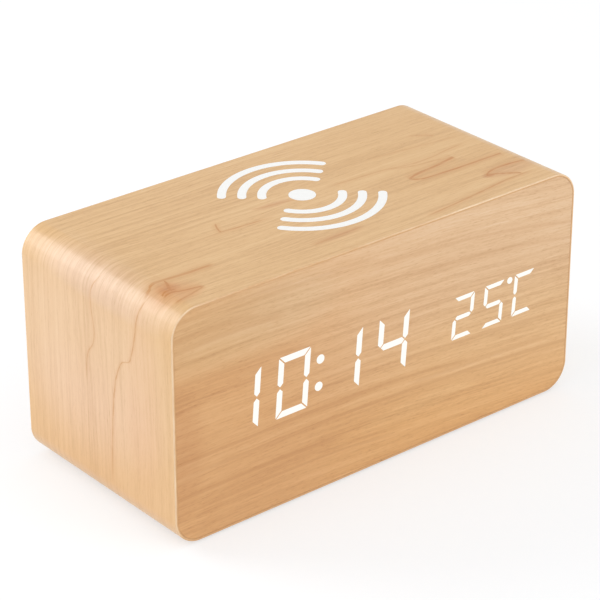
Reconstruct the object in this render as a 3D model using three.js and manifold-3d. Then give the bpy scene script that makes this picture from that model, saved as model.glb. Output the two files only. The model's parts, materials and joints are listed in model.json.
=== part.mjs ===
// Bedside alarm clock in a veneered wooden case, with a charging coil under its top.
// Millimetres. X is the width, Y the depth with the display facing -Y, and Z is up.
// The origin lies under the middle of the case, on the surface that the feet stand on.

import * as THREE from 'three';
import { mergeVertices } from 'three/addons/utils/BufferGeometryUtils.js';
import Module from 'manifold-3d';

const wasm = await Module();
wasm.setup();

// Case
const CORNER_RADIUS = 8.5;
const WRAP_VENEER = 0.7;
const WRAP_SEAM = 0.3;
const FACE_VENEER = 0.5;
const FRONT_PANEL_THICKNESS = 6;
const BOARD_THICKNESS = 10;
const END_THICKNESS = 7.5;
const GLUE_LINE = 0.1;
const HEAD_ROOM = 7.6;
const SIDE_CLEARANCE = 0.8;
const FOOT_DIAMETER = 10;
const FOOT_HEIGHT = 0.6;
const FOOT_CHAMFER = 0.2;
const FOOT_END_INSET = 9.5;
const FOOT_FACE_INSET = 12;

// Fits and fasteners
const SEAT_GAP = 0.1;
const RUNNING_CLEARANCE = 0.25;
const SCREW_SHANK = 1.7;
const SCREW_HEAD = 3.4;
const SCREW_HEAD_HEIGHT = 1.1;
const SCREW_RECESS_WIDTH = 0.5;
const SCREW_RECESS_LENGTH = 2;
const SCREW_RECESS_DEPTH = 0.6;
const PILOT_CLEARANCE = 0.1;
const SCREW_COVER = 1.2;
const CIRCUIT_THICKNESS = 1.6;

// Display
const DIGIT_HEIGHT = 18.8;
const DIGIT_WIDTH = 11.4;
const DIGIT_STROKE = 1.9;
const DIGIT_SPACE = 6.3;
const COLON_SPACE = 7.7;
const COLON_DOT = 2.6;
const COLON_SPREAD = 8.4;
const GROUP_SPACE = 17.7;
const SMALL_HEIGHT = 13.5;
const SMALL_WIDTH = 8;
const SMALL_STROKE = 1.2;
const SMALL_SPACE = 4.1;
const DEGREE_DOT = 1.9;
const SEGMENT_GAP = 0.4;
const SLANT_DEGREES = 4.5;
const DISPLAY_SHIFT = 1.1;
const DISPLAY_RAISE = 1.5;
const REFLECTOR_BORDER = 2.6;
const WINDOW_GAP = 0.3;
const LAP_MARGIN = 0.3;
const DIFFUSER_THICKNESS = 0.8;
const LIGHT_LENGTH = 1;
const LIGHT_WIDTH = 0.5;
const LIGHT_HEIGHT = 0.5;
const LIGHT_CLEARANCE = 0.2;

// Controls on the rear
const PLATE_RECESS = 1.8;
const PLATE_THICKNESS = 2;
const PLATE_GAP = 0.3;
const LEDGE_THICKNESS = 2.7;
const LEDGE_MARGIN = 0.55;
const CONTROL_SPACE = 1.5;
const CONTROL_ROOM = 2;
const BOSS_DIAMETER = 5;
const BOSS_MARGIN = 0.75;
const BOSS_SPACE = 2;
const BUTTON_DIAMETER = 6.6;
const BUTTON_PROUD = 1.4;
const BUTTON_EDGE = 0.4;
const BUTTON_DISH = 0.3;
const BUTTON_TRAVEL = 0.5;
const FLANGE_WIDTH = 1;
const FLANGE_THICKNESS = 1;
const STEM_DIAMETER = 2.8;
const STEM_LENGTH = 1;
const SWITCH_SIZE = 6.2;
const SWITCH_CORNER = 0.5;
const SWITCH_HEIGHT = 3.5;
const PLUNGER_DIAMETER = 3.4;
const PLUNGER_PROUD = 1.5;
const PLUNGER_INSIDE = 1.6;
const SOUND_HOLE = 1.2;
const SOUND_RING = 4.4;
const SOUND_COUNT = 6;
const VENT_WIDTH = 1.2;
const VENT_HEIGHT = 6;
const VENT_SPACE = 1.2;
const VENT_COUNT = 3;

// Main board and what it carries
const BOARD_LIFT = 2;
const BOARD_EDGE = 1.2;
const BOARD_END = 3.75;
const USB_WIDTH = 7.6;
const USB_HEIGHT = 2.6;
const USB_CHAMFER = 1.1;
const USB_WALL = 0.3;
const USB_BLOCK = 3;
const USB_TONGUE_WIDTH = 3.9;
const USB_TONGUE_THICKNESS = 0.6;
const USB_TONGUE_SETBACK = 0.8;
const BUZZER_DIAMETER = 9;
const BUZZER_HEIGHT = 5.5;
const BUZZER_HOLE = 2;
const BUZZER_HOLE_DEPTH = 1.5;
const BUZZER_EDGE = 0.5;
const SENSOR_BEAD = 2.6;
const SENSOR_LEG = 0.6;
const SENSOR_LEG_PITCH = 1.2;
const SENSOR_REACH = 4;
const CELL_DIAMETER = 20;
const CELL_THICKNESS = 3.2;
const CELL_STEP = 1.2;
const CELL_CAP_HEIGHT = 0.6;
const CELL_EDGE = 0.3;
const CELL_CLEARANCE = 0.2;
const CELL_X = 15;
const HOLDER_WALL = 1.6;
const HOLDER_BASE = 1;
const HOLDER_NOTCH = 8;
const CLIP_WIDTH = 5;
const CLIP_THICKNESS = 0.4;
const HEADER_HEIGHT = 3;
const HEADER_DEPTH = 2;
const HEADER_MARGIN = 1;
const RIBBON_WIDTH = 10;
const RIBBON_THICKNESS = 0.8;
const RIBBON_X = -12;
const RIBBON_RISE = 8;
const RIBBON_STEPS = 20;

// Charger
const COIL_BORE = 18;
const COIL_TURNS = 8;
const COIL_STEPS = 24;
const COIL_SIDES = 6;
const WIRE_DIAMETER = 1;
const TURN_GAP = 0.45;
const LEAD_GAP = 0.6;
const LEAD_CLEARANCE = 0.45;
const LEAD_BEND = 0.7;
const LEAD_OUT_DEGREES = 30;
const FERRITE_MARGIN = 2;
const FERRITE_THICKNESS = 2;
const TAPE_THICKNESS = 0.5;
const TAPE_GAP = 0.2;
const POCKET_RIM = 2.8;
const POCKET_ROOF = 3;
const CHARGER_LENGTH = 44;
const CHARGER_WIDTH = 34;
const CHARGER_THICKNESS = 1.2;
const CHARGER_OFFSET = 9.5;
const CHARGER_SETBACK = 3;
const CHARGER_HOLE_INSET = 4;
const CHIP_EDGE = 7.5;
const CHIP_SPACE = 4.5;
const DRIVER_SIZE = 7;
const DRIVER_HEIGHT = 1.2;
const REGULATOR_LENGTH = 5;
const REGULATOR_WIDTH = 4;
const REGULATOR_HEIGHT = 1.5;
const INDUCTOR_SIZE = 6;
const INDUCTOR_HEIGHT = 3;
const SPACER_DIAMETER = 6;
const SPACER_HEIGHT = 5;
const POWER_LEAD = 1.2;
const POWER_LEAD_SPACE = 1.8;
const POWER_LEAD_BEND = 4;
const POWER_LEAD_END = 1;
const POWER_LEAD_RUN = 8;
const POWER_LEAD_INSET = 7;
const BEND_STEPS = 4;

// Facets and tolerances
const ARC_STEPS = 4;
const CORNER_STEPS = 1;
const ROUND_SIDES = 24;
const POCKET_SIDES = 48;
const CELL_SIDES = 32;
const SCREW_SIDES = 12;
const SMALL_SIDES = 10;
const TUBE_SIDES = 8;
const MERGE_TOLERANCE = 1e-4;
const OVERRUN = 1;
const FUSE_DEPTH = 0.2;

// Widths, along X
const DIGIT_PITCH = DIGIT_WIDTH + DIGIT_SPACE;
const COLON_PITCH = DIGIT_WIDTH + COLON_SPACE;
const SMALL_PITCH = SMALL_WIDTH + SMALL_SPACE;
const DIGIT_SPAN = DIGIT_WIDTH + 2 * DIGIT_PITCH + COLON_PITCH + GROUP_SPACE + SMALL_WIDTH + 2 * SMALL_PITCH;
const REFLECTOR_WIDTH = DIGIT_SPAN + 2 * REFLECTOR_BORDER;
const REFLECTOR_HEIGHT = DIGIT_HEIGHT + 2 * REFLECTOR_BORDER;
const WINDOW_WIDTH = REFLECTOR_WIDTH + 2 * WINDOW_GAP;
const WINDOW_HEIGHT = REFLECTOR_HEIGHT + 2 * WINDOW_GAP;
const DISPLAY_LAP = SCREW_HEAD + 2 * LAP_MARGIN;
const DISPLAY_BOARD_WIDTH = WINDOW_WIDTH + 2 * DISPLAY_LAP;
const DISPLAY_BOARD_HEIGHT = WINDOW_HEIGHT + 2 * DISPLAY_LAP;
const INTERIOR_WIDTH = DISPLAY_BOARD_WIDTH + 2 * (SIDE_CLEARANCE + Math.abs(DISPLAY_SHIFT));
const CASE_WIDTH = INTERIOR_WIDTH + 2 * (END_THICKNESS + GLUE_LINE + WRAP_VENEER);

// Heights, along Z
const INTERIOR_HEIGHT = DISPLAY_BOARD_HEIGHT + 2 * (HEAD_ROOM + Math.abs(DISPLAY_RAISE));
const CORE_INSET = WRAP_VENEER + GLUE_LINE;
const FLOOR_Z = FOOT_HEIGHT + CORE_INSET + BOARD_THICKNESS;
const CEILING_Z = FLOOR_Z + INTERIOR_HEIGHT;
const CASE_TOP_Z = CEILING_Z + BOARD_THICKNESS + CORE_INSET;
const CASE_HEIGHT = CASE_TOP_Z - FOOT_HEIGHT;
const CASE_MID_Z = FOOT_HEIGHT + CASE_HEIGHT / 2;
const DISPLAY_Z = (FLOOR_Z + CEILING_Z) / 2 + DISPLAY_RAISE;

// Coil and its pocket
const TURN_PITCH = WIRE_DIAMETER + TURN_GAP;
const COIL_FIRST_RADIUS = (COIL_BORE + WIRE_DIAMETER) / 2;
const COIL_LAST_RADIUS = COIL_FIRST_RADIUS + COIL_TURNS * TURN_PITCH;
const FERRITE_RADIUS = COIL_LAST_RADIUS + WIRE_DIAMETER / 2 + FERRITE_MARGIN;
const LEAD_ROOM = WIRE_DIAMETER + 2 * LEAD_CLEARANCE;
const LEAD_RADIUS = FERRITE_RADIUS + LEAD_ROOM / 2;
const POCKET_RADIUS = FERRITE_RADIUS + LEAD_ROOM;
const COIL_Z = CEILING_Z + BOARD_THICKNESS - POCKET_ROOF - SEAT_GAP - WIRE_DIAMETER / 2;
const LEAD_Z = COIL_Z - WIRE_DIAMETER - LEAD_GAP;
const FERRITE_TOP_Z = COIL_Z - WIRE_DIAMETER / 2 - SEAT_GAP;
const TAPE_TOP_Z = FERRITE_TOP_Z - FERRITE_THICKNESS - SEAT_GAP;

// Depths, along Y, from the front face to the rear face
const SKIN = FACE_VENEER + GLUE_LINE;
const REAR_PANEL_THICKNESS = PLATE_RECESS + PLATE_THICKNESS + SEAT_GAP + LEDGE_THICKNESS - SKIN;
const CARCASS_DEPTH = 2 * (POCKET_RADIUS + POCKET_RIM);
const CASE_DEPTH = CARCASS_DEPTH + FRONT_PANEL_THICKNESS + REAR_PANEL_THICKNESS + 2 * (SKIN + GLUE_LINE);
const FRONT_Y = -CASE_DEPTH / 2;
const REAR_Y = CASE_DEPTH / 2;
const PANEL_FRONT_Y = FRONT_Y + SKIN;
const PANEL_BACK_Y = PANEL_FRONT_Y + FRONT_PANEL_THICKNESS;
const CARCASS_FRONT_Y = PANEL_BACK_Y + GLUE_LINE;
const CARCASS_REAR_Y = CARCASS_FRONT_Y + CARCASS_DEPTH;
const CARCASS_MID_Y = (CARCASS_FRONT_Y + CARCASS_REAR_Y) / 2;
const REAR_PANEL_INNER_Y = CARCASS_REAR_Y + GLUE_LINE;
const REAR_PANEL_OUTER_Y = REAR_PANEL_INNER_Y + REAR_PANEL_THICKNESS;
const DISPLAY_BOARD_FRONT_Y = PANEL_BACK_Y + SEAT_GAP;
const DISPLAY_BOARD_BACK_Y = DISPLAY_BOARD_FRONT_Y + CIRCUIT_THICKNESS;

// Controls: stations along the plate, then the chain from the plate to the main board
const STATIONS = ['usb', 'sensor', 'set', 'up', 'down', 'buzzer'];
const BUTTONS = ['set', 'up', 'down'];
const FLANGE_DIAMETER = BUTTON_DIAMETER + 2 * FLANGE_WIDTH;
const WIDEST_CONTROL = Math.max(FLANGE_DIAMETER, BUZZER_DIAMETER, SWITCH_SIZE, USB_WIDTH);
const CONTROL_PITCH = WIDEST_CONTROL + CONTROL_SPACE;
const CONTROL_SPAN = (STATIONS.length - 1) * CONTROL_PITCH;
const BOSS_X = CONTROL_SPAN / 2 + WIDEST_CONTROL / 2 + BOSS_SPACE + BOSS_DIAMETER / 2;
const OPENING_LENGTH = 2 * (BOSS_X + BOSS_DIAMETER / 2 + BOSS_MARGIN);
const OPENING_HEIGHT = WIDEST_CONTROL + 2 * CONTROL_ROOM;
const LEDGE_WIDTH = SCREW_HEAD + 2 * LEDGE_MARGIN;
const PLATE_LENGTH = OPENING_LENGTH + 2 * LEDGE_WIDTH;
const PLATE_HEIGHT = OPENING_HEIGHT + 2 * LEDGE_WIDTH;
const PLATE_SCREW_X = (OPENING_LENGTH + LEDGE_WIDTH) / 2;
const PLATE_OUTER_Y = REAR_Y - PLATE_RECESS;
const PLATE_INNER_Y = PLATE_OUTER_Y - PLATE_THICKNESS;
const LEDGE_Y = PLATE_INNER_Y - SEAT_GAP;
const FLANGE_Y = PLATE_INNER_Y - SEAT_GAP;
const STEM_END_Y = FLANGE_Y - FLANGE_THICKNESS - STEM_LENGTH;
const PLUNGER_TIP_Y = STEM_END_Y - SEAT_GAP;
const SWITCH_TOP_Y = PLUNGER_TIP_Y - PLUNGER_PROUD;
const BOARD_OUTER_Y = SWITCH_TOP_Y - SWITCH_HEIGHT - SEAT_GAP;
const BOARD_INNER_Y = BOARD_OUTER_Y - CIRCUIT_THICKNESS;
const BOSS_LENGTH = PLATE_INNER_Y - BOARD_OUTER_Y - SEAT_GAP;
const HOLDER_DIAMETER = CELL_DIAMETER + 2 * (CELL_CLEARANCE + HOLDER_WALL);
const MAIN_BOARD_WIDTH = 2 * (BOSS_X + BOARD_END);
const MAIN_BOARD_HEIGHT = HOLDER_DIAMETER + 2 * BOARD_EDGE;
const CONTROL_Z = FLOOR_Z + BOARD_LIFT + MAIN_BOARD_HEIGHT / 2;

// Charger board
const CHARGER_X = -LEAD_RADIUS - CHARGER_OFFSET;
const CHARGER_Y = CARCASS_MID_Y - CHARGER_SETBACK;
const CHARGER_BOTTOM_Z = FLOOR_Z + SPACER_HEIGHT + 2 * SEAT_GAP;
const CHARGER_TOP_Z = CHARGER_BOTTOM_Z + CHARGER_THICKNESS;

const WOOD_CORE = { color: 0xc9a678, roughness: 0.8, metalness: 0 };
const MAPLE_TOP = { color: 0xe0b98f, roughness: 0.55, metalness: 0 };
const MAPLE_FACE = { color: 0xd8ab78, roughness: 0.55, metalness: 0 };
const BLACK_PLASTIC = { color: 0x1c1c1d, roughness: 0.5, metalness: 0 };
const WHITE_PLASTIC = { color: 0xf2f2ee, roughness: 0.45, metalness: 0 };
const MILKY_SHEET = { color: 0xf7f6f0, roughness: 0.35, metalness: 0 };
const CIRCUIT_GREEN = { color: 0x1f5a35, roughness: 0.45, metalness: 0 };
const STEEL = { color: 0xb9bcc0, roughness: 0.35, metalness: 1 };
const COPPER = { color: 0xb4653a, roughness: 0.35, metalness: 1 };
const FERRITE = { color: 0x2b2a2c, roughness: 0.75, metalness: 0 };
const AMBER_TAPE = { color: 0xb8792a, roughness: 0.3, metalness: 0 };
const GREY_RIBBON = { color: 0x9a9da1, roughness: 0.6, metalness: 0 };
const RED_INSULATION = { color: 0xa3211c, roughness: 0.5, metalness: 0 };
const BLACK_INSULATION = { color: 0x161617, roughness: 0.5, metalness: 0 };
const FOOT_RUBBER = { color: 0x2a2a2b, roughness: 0.9, metalness: 0 };

// Closed geometry to a solid: shared vertices merged, collapsed triangles dropped.
function solid(geometry) {
  const bare = geometry.clone();
  bare.deleteAttribute('normal');
  bare.deleteAttribute('uv');
  const merged = mergeVertices(bare, MERGE_TOLERANCE);
  const index = merged.getIndex().array;
  const triangles = [];
  for (let i = 0; i < index.length; i += 3) {
    const corners = [index[i], index[i + 1], index[i + 2]];
    if (new Set(corners).size === corners.length) {
      triangles.push(...corners);
    }
  }
  const vertProperties = new Float32Array(merged.getAttribute('position').array);
  const triVerts = new Uint32Array(triangles);
  return new wasm.Manifold(new wasm.Mesh({ numProp: 3, vertProperties, triVerts }));
}

function geometryOf(body) {
  const mesh = body.getMesh();
  const geometry = new THREE.BufferGeometry();
  geometry.setAttribute('position', new THREE.BufferAttribute(mesh.vertProperties, mesh.numProp));
  geometry.setIndex(new THREE.BufferAttribute(mesh.triVerts, 1));
  return geometry;
}

function join(first, ...others) {
  return geometryOf(others.reduce((body, other) => body.add(solid(other)), solid(first)));
}

function cut(first, ...tools) {
  return geometryOf(tools.reduce((body, tool) => body.subtract(solid(tool)), solid(first)));
}

function common(first, second) {
  return geometryOf(solid(first).intersect(solid(second)));
}

function block([x0, x1], [y0, y1], [z0, z1]) {
  const box = new THREE.BoxGeometry(x1 - x0, y1 - y0, z1 - z0);
  return box.translate((x0 + x1) / 2, (y0 + y1) / 2, (z0 + z1) / 2);
}

function span(middle, width) {
  return [middle - width / 2, middle + width / 2];
}

function cylinderY(diameter, [y0, y1], x = 0, z = 0, sides = ROUND_SIDES) {
  const body = new THREE.CylinderGeometry(diameter / 2, diameter / 2, y1 - y0, sides);
  return body.translate(x, (y0 + y1) / 2, z);
}

function cylinderZ(diameter, [z0, z1], x = 0, y = 0, sides = ROUND_SIDES) {
  const body = new THREE.CylinderGeometry(diameter / 2, diameter / 2, z1 - z0, sides);
  return body.rotateX(Math.PI / 2).translate(x, y, (z0 + z1) / 2);
}

function revolve(profile, sides = ROUND_SIDES) {
  return new THREE.LatheGeometry(profile.map(([radius, y]) => new THREE.Vector2(radius, y)), sides);
}

// An outline in X and Z with round corners; half its height as radius gives round ends.
function roundedOutline(width, height, radius, x = 0, z = 0) {
  const right = x + width / 2 - radius;
  const left = x - width / 2 + radius;
  const top = z + height / 2 - radius;
  const bottom = z - height / 2 + radius;
  const quarter = Math.PI / 2;
  const shape = new THREE.Shape();
  shape.absarc(right, bottom, radius, -quarter, 0);
  shape.absarc(right, top, radius, 0, quarter);
  shape.absarc(left, top, radius, quarter, 2 * quarter);
  shape.absarc(left, bottom, radius, 2 * quarter, 3 * quarter);
  shape.closePath();
  return shape;
}

// A shape in X and Z drawn out between two depths.
function slab(shape, [y0, y1], curveSegments = ARC_STEPS) {
  const settings = { depth: y1 - y0, bevelEnabled: false, curveSegments };
  return new THREE.ExtrudeGeometry(shape, settings).rotateX(Math.PI / 2).translate(0, y1, 0);
}

function stadium(width, height, depths, x = 0, z = 0) {
  return slab(roundedOutline(width, height, height / 2, x, z), depths);
}

function caseOutline(inset) {
  const radius = CORNER_RADIUS - inset;
  return roundedOutline(CASE_WIDTH - 2 * inset, CASE_HEIGHT - 2 * inset, radius, 0, CASE_MID_Z);
}

function anticlockwise(outline) {
  return THREE.ShapeUtils.isClockWise(outline) ? [...outline].reverse() : outline;
}

// A convex outline with every side moved inwards by the same distance.
function insetOutline(outline, distance) {
  const points = anticlockwise(outline);
  const count = points.length;
  const sides = points.map((point, i) => {
    const along = points[(i + 1) % count].clone().sub(point).normalize();
    const inward = new THREE.Vector2(-along.y, along.x);
    return { start: point.clone().addScaledVector(inward, distance), along };
  });
  return sides.map((side, i) => {
    const before = sides[(i + count - 1) % count];
    const offset = side.start.clone().sub(before.start);
    const reach = offset.cross(side.along) / before.along.cross(side.along);
    return before.start.clone().addScaledVector(before.along, reach);
  });
}

// A closed body between two outlines in X and Z that have as many points.
function loft(frontOutline, frontY, backOutline, backY) {
  const front = anticlockwise(frontOutline);
  const back = anticlockwise(backOutline);
  const count = front.length;
  const positions = [];
  front.forEach((point) => positions.push(point.x, frontY, point.y));
  back.forEach((point) => positions.push(point.x, backY, point.y));
  const index = [];
  for (let i = 0; i < count; i += 1) {
    const next = (i + 1) % count;
    index.push(i, count + i, next, next, count + i, count + next);
  }
  for (let i = 1; i < count - 1; i += 1) {
    index.push(0, i, i + 1, count, count + i + 1, count + i);
  }
  const geometry = new THREE.BufferGeometry();
  geometry.setAttribute('position', new THREE.Float32BufferAttribute(positions, 3));
  geometry.setIndex(index);
  return geometry;
}

// A round tube along points in space, closed at both ends.
function tube(points, diameter, sides = TUBE_SIDES) {
  const count = points.length;
  const tangents = points.map((point, i) => {
    const after = points[Math.min(i + 1, count - 1)];
    const before = points[Math.max(i - 1, 0)];
    return after.clone().sub(before).normalize();
  });
  const first = tangents[0];
  const aside = Math.abs(first.z) < Math.SQRT1_2 ? new THREE.Vector3(0, 0, 1) : new THREE.Vector3(1, 0, 0);
  const normal = aside.cross(first).normalize();
  const turn = new THREE.Quaternion();
  const positions = [];
  points.forEach((point, i) => {
    if (i > 0) {
      normal.applyQuaternion(turn.setFromUnitVectors(tangents[i - 1], tangents[i]));
    }
    const binormal = tangents[i].clone().cross(normal);
    for (let k = 0; k < sides; k += 1) {
      const angle = (2 * Math.PI * k) / sides;
      const rim = point.clone();
      rim.addScaledVector(normal, (diameter / 2) * Math.cos(angle));
      rim.addScaledVector(binormal, (diameter / 2) * Math.sin(angle));
      positions.push(rim.x, rim.y, rim.z);
    }
  });
  const index = [];
  for (let i = 0; i < count - 1; i += 1) {
    for (let k = 0; k < sides; k += 1) {
      const here = i * sides + k;
      const beside = i * sides + ((k + 1) % sides);
      index.push(here, beside, beside + sides, here, beside + sides, here + sides);
    }
  }
  const last = (count - 1) * sides;
  for (let k = 1; k < sides - 1; k += 1) {
    index.push(0, k + 1, k, last, last + k, last + k + 1);
  }
  const geometry = new THREE.BufferGeometry();
  geometry.setAttribute('position', new THREE.Float32BufferAttribute(positions, 3));
  geometry.setIndex(index);
  return geometry;
}

// Points along straight runs whose corners are rounded.
function bentRun(corners, bend) {
  const points = [corners[0]];
  for (let i = 1; i < corners.length - 1; i += 1) {
    const corner = corners[i];
    const enter = corners[i - 1].clone().sub(corner).setLength(bend).add(corner);
    const leave = corners[i + 1].clone().sub(corner).setLength(bend).add(corner);
    points.push(...new THREE.QuadraticBezierCurve3(enter, corner, leave).getPoints(BEND_STEPS));
  }
  points.push(corners[corners.length - 1]);
  return points;
}

function piece(name, geometry, finish) {
  const mesh = new THREE.Mesh(geometry, new THREE.MeshStandardMaterial(finish));
  mesh.name = name;
  return mesh;
}

function assembly(...children) {
  const group = new THREE.Group();
  group.add(...children.flat());
  return group;
}

// A pan-head screw along Y, with its shank towards -Y and its seat at zero.
function screw(name, grip) {
  const radius = SCREW_SHANK / 2;
  const headRadius = SCREW_HEAD / 2;
  const shoulder = SCREW_HEAD_HEIGHT / 2;
  const body = revolve([
    [0, -grip],
    [radius / 2, -grip],
    [radius, -grip + radius],
    [radius, 0],
    [headRadius, 0],
    [headRadius, shoulder],
    [headRadius - shoulder, SCREW_HEAD_HEIGHT],
    [0, SCREW_HEAD_HEIGHT],
  ], SCREW_SIDES);
  const depths = [SCREW_HEAD_HEIGHT - SCREW_RECESS_DEPTH, SCREW_HEAD_HEIGHT + OVERRUN];
  const across = block(span(0, SCREW_RECESS_LENGTH), depths, span(0, SCREW_RECESS_WIDTH));
  const upright = block(span(0, SCREW_RECESS_WIDTH), depths, span(0, SCREW_RECESS_LENGTH));
  return piece(name, cut(body, across, upright), STEEL);
}

const PILOT = SCREW_SHANK + 2 * PILOT_CLEARANCE;

// Case: four boards, two panels, and the veneers glued over them.

function carcassBoard(xs, zs) {
  const core = slab(caseOutline(CORE_INSET), [CARCASS_FRONT_Y, CARCASS_REAR_Y]);
  const room = [CARCASS_FRONT_Y - OVERRUN, CARCASS_REAR_Y + OVERRUN];
  return common(core, block(xs, room, zs));
}

function topBoard() {
  const board = carcassBoard(span(0, CASE_WIDTH), [CEILING_Z, CASE_TOP_Z]);
  const heights = [CEILING_Z - OVERRUN, CEILING_Z + BOARD_THICKNESS - POCKET_ROOF];
  return cut(board, cylinderZ(2 * POCKET_RADIUS, heights, 0, CARCASS_MID_Y, POCKET_SIDES));
}

function chargerHoles() {
  const x = CHARGER_LENGTH / 2 - CHARGER_HOLE_INSET;
  const y = CHARGER_WIDTH / 2 - CHARGER_HOLE_INSET;
  return [new THREE.Vector2(-x, -y), new THREE.Vector2(x, y)];
}

function bottomBoard() {
  const board = carcassBoard(span(0, CASE_WIDTH), [FOOT_HEIGHT, FLOOR_Z]);
  const depths = [FLOOR_Z - BOARD_THICKNESS + SCREW_COVER, FLOOR_Z + OVERRUN];
  const pilots = chargerHoles().map((hole) => {
    return cylinderZ(PILOT, depths, CHARGER_X + hole.x, CHARGER_Y + hole.y, SMALL_SIDES);
  });
  return cut(board, ...pilots);
}

function endBoard(side) {
  const inner = side * (INTERIOR_WIDTH / 2);
  const outer = side * (CASE_WIDTH / 2);
  const xs = [Math.min(inner, outer), Math.max(inner, outer)];
  return carcassBoard(xs, [FLOOR_Z + GLUE_LINE, CEILING_Z - GLUE_LINE]);
}

function displayCorners() {
  const x = (WINDOW_WIDTH + DISPLAY_LAP) / 2;
  const z = (WINDOW_HEIGHT + DISPLAY_LAP) / 2;
  return [[-x, -z], [x, -z], [-x, z], [x, z]];
}

function frontPanel() {
  const panel = slab(caseOutline(CORE_INSET), [PANEL_FRONT_Y, PANEL_BACK_Y]);
  const through = [PANEL_FRONT_Y - OVERRUN, PANEL_BACK_Y + OVERRUN];
  const window = block(span(DISPLAY_SHIFT, WINDOW_WIDTH), through, span(DISPLAY_Z, WINDOW_HEIGHT));
  const blind = [PANEL_FRONT_Y + SCREW_COVER, PANEL_BACK_Y + OVERRUN];
  const pilots = displayCorners().map(([x, z]) => {
    return cylinderY(PILOT, blind, DISPLAY_SHIFT + x, DISPLAY_Z + z, SMALL_SIDES);
  });
  return cut(panel, window, ...pilots);
}

function platePocket(depths) {
  return stadium(PLATE_LENGTH + 2 * PLATE_GAP, PLATE_HEIGHT + 2 * PLATE_GAP, depths, 0, CONTROL_Z);
}

function rearPanel() {
  const panel = slab(caseOutline(CORE_INSET), [REAR_PANEL_INNER_Y, REAR_PANEL_OUTER_Y]);
  const seat = [LEDGE_Y, REAR_PANEL_OUTER_Y + OVERRUN];
  const through = [REAR_PANEL_INNER_Y - OVERRUN, LEDGE_Y + OVERRUN];
  const pilots = [-PLATE_SCREW_X, PLATE_SCREW_X].map((x) => {
    return cylinderY(PILOT, through, x, CONTROL_Z, SMALL_SIDES);
  });
  const opening = stadium(OPENING_LENGTH, OPENING_HEIGHT, through, 0, CONTROL_Z);
  return cut(panel, platePocket(seat), opening, ...pilots);
}

function rearVeneer() {
  const sheet = slab(caseOutline(CORE_INSET), [REAR_PANEL_OUTER_Y + GLUE_LINE, REAR_Y]);
  const through = [REAR_PANEL_OUTER_Y, REAR_Y + OVERRUN];
  return cut(sheet, platePocket(through));
}

function wrapVeneer() {
  const outer = caseOutline(0);
  outer.holes.push(caseOutline(WRAP_VENEER));
  const seam = block(
    span(0, WRAP_SEAM),
    [FRONT_Y - OVERRUN, REAR_Y + OVERRUN],
    [FOOT_HEIGHT - OVERRUN, FOOT_HEIGHT + CORE_INSET],
  );
  return cut(slab(outer, [FRONT_Y, REAR_Y]), seam);
}

function buildCase() {
  const faceSheet = slab(caseOutline(CORE_INSET), [FRONT_Y, FRONT_Y + FACE_VENEER]);
  return assembly(
    piece('top_board', topBoard(), WOOD_CORE),
    piece('bottom_board', bottomBoard(), WOOD_CORE),
    piece('left_end_board', endBoard(-1), WOOD_CORE),
    piece('right_end_board', endBoard(1), WOOD_CORE),
    piece('front_panel', frontPanel(), WOOD_CORE),
    piece('rear_panel', rearPanel(), WOOD_CORE),
    piece('wrap_veneer', wrapVeneer(), MAPLE_TOP),
    piece('front_veneer', faceSheet, MAPLE_FACE),
    piece('rear_veneer', rearVeneer(), MAPLE_FACE),
  );
}

// Feet: four thin pads on the flat of the underside.

function buildFeet() {
  const radius = FOOT_DIAMETER / 2;
  const pad = revolve([
    [0, 0],
    [radius - FOOT_CHAMFER, 0],
    [radius, FOOT_CHAMFER],
    [radius, FOOT_HEIGHT],
    [0, FOOT_HEIGHT],
  ]);
  const x = CASE_WIDTH / 2 - CORNER_RADIUS - FOOT_END_INSET;
  const y = CASE_DEPTH / 2 - FOOT_FACE_INSET;
  const places = { front_left: [-x, -y], front_right: [x, -y], rear_left: [-x, y], rear_right: [x, y] };
  return assembly(Object.entries(places).map(([corner, [footX, footY]]) => {
    const foot = piece(`foot_pad_${corner}`, pad, FOOT_RUBBER);
    foot.rotation.x = Math.PI / 2;
    foot.position.set(footX, footY, 0);
    return foot;
  }));
}

// Display: seven-segment outlines, the reflector that they shine through, and its board.

function mirrored(outline, signX, signZ) {
  return outline.map((point) => new THREE.Vector2(signX * point.x, signZ * point.y));
}

function segmentOutlines(width, height, stroke) {
  const w = width / 2;
  const h = height / 2;
  const half = stroke / 2;
  const mitre = SEGMENT_GAP * Math.SQRT1_2;
  const point = (x, z) => new THREE.Vector2(x, z);
  const bar = [
    point(mitre - w, h),
    point(w - mitre, h),
    point(w - mitre - stroke, h - stroke),
    point(mitre + stroke - w, h - stroke),
  ];
  const post = [
    point(-w, h - mitre),
    point(-w, half + mitre),
    point(half - w, mitre),
    point(stroke - w, half + mitre),
    point(stroke - w, h - stroke - mitre),
  ];
  const middle = [
    point(half + mitre - w, 0),
    point(stroke + mitre - w, -half),
    point(w - stroke - mitre, -half),
    point(w - half - mitre, 0),
    point(w - stroke - mitre, half),
    point(stroke + mitre - w, half),
  ];
  const bars = [bar, mirrored(bar, 1, -1), middle];
  const posts = [post, mirrored(post, -1, 1), mirrored(post, 1, -1), mirrored(post, -1, -1)];
  return [
    ...bars.map((outline) => ({ outline, upright: false })),
    ...posts.map((outline) => ({ outline, upright: true })),
  ];
}

function slanted(outline, x) {
  const lean = Math.tan(THREE.MathUtils.degToRad(SLANT_DEGREES));
  return outline.map((point) => new THREE.Vector2(x + point.x + lean * point.y, point.y));
}

function middleOf(outline) {
  const sum = outline.reduce((total, point) => total.add(point), new THREE.Vector2());
  return sum.divideScalar(outline.length);
}

function circleOutline(diameter, x, z) {
  const curve = new THREE.EllipseCurve(x, z, diameter / 2, diameter / 2);
  return curve.getPoints(SMALL_SIDES).slice(1);
}

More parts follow.
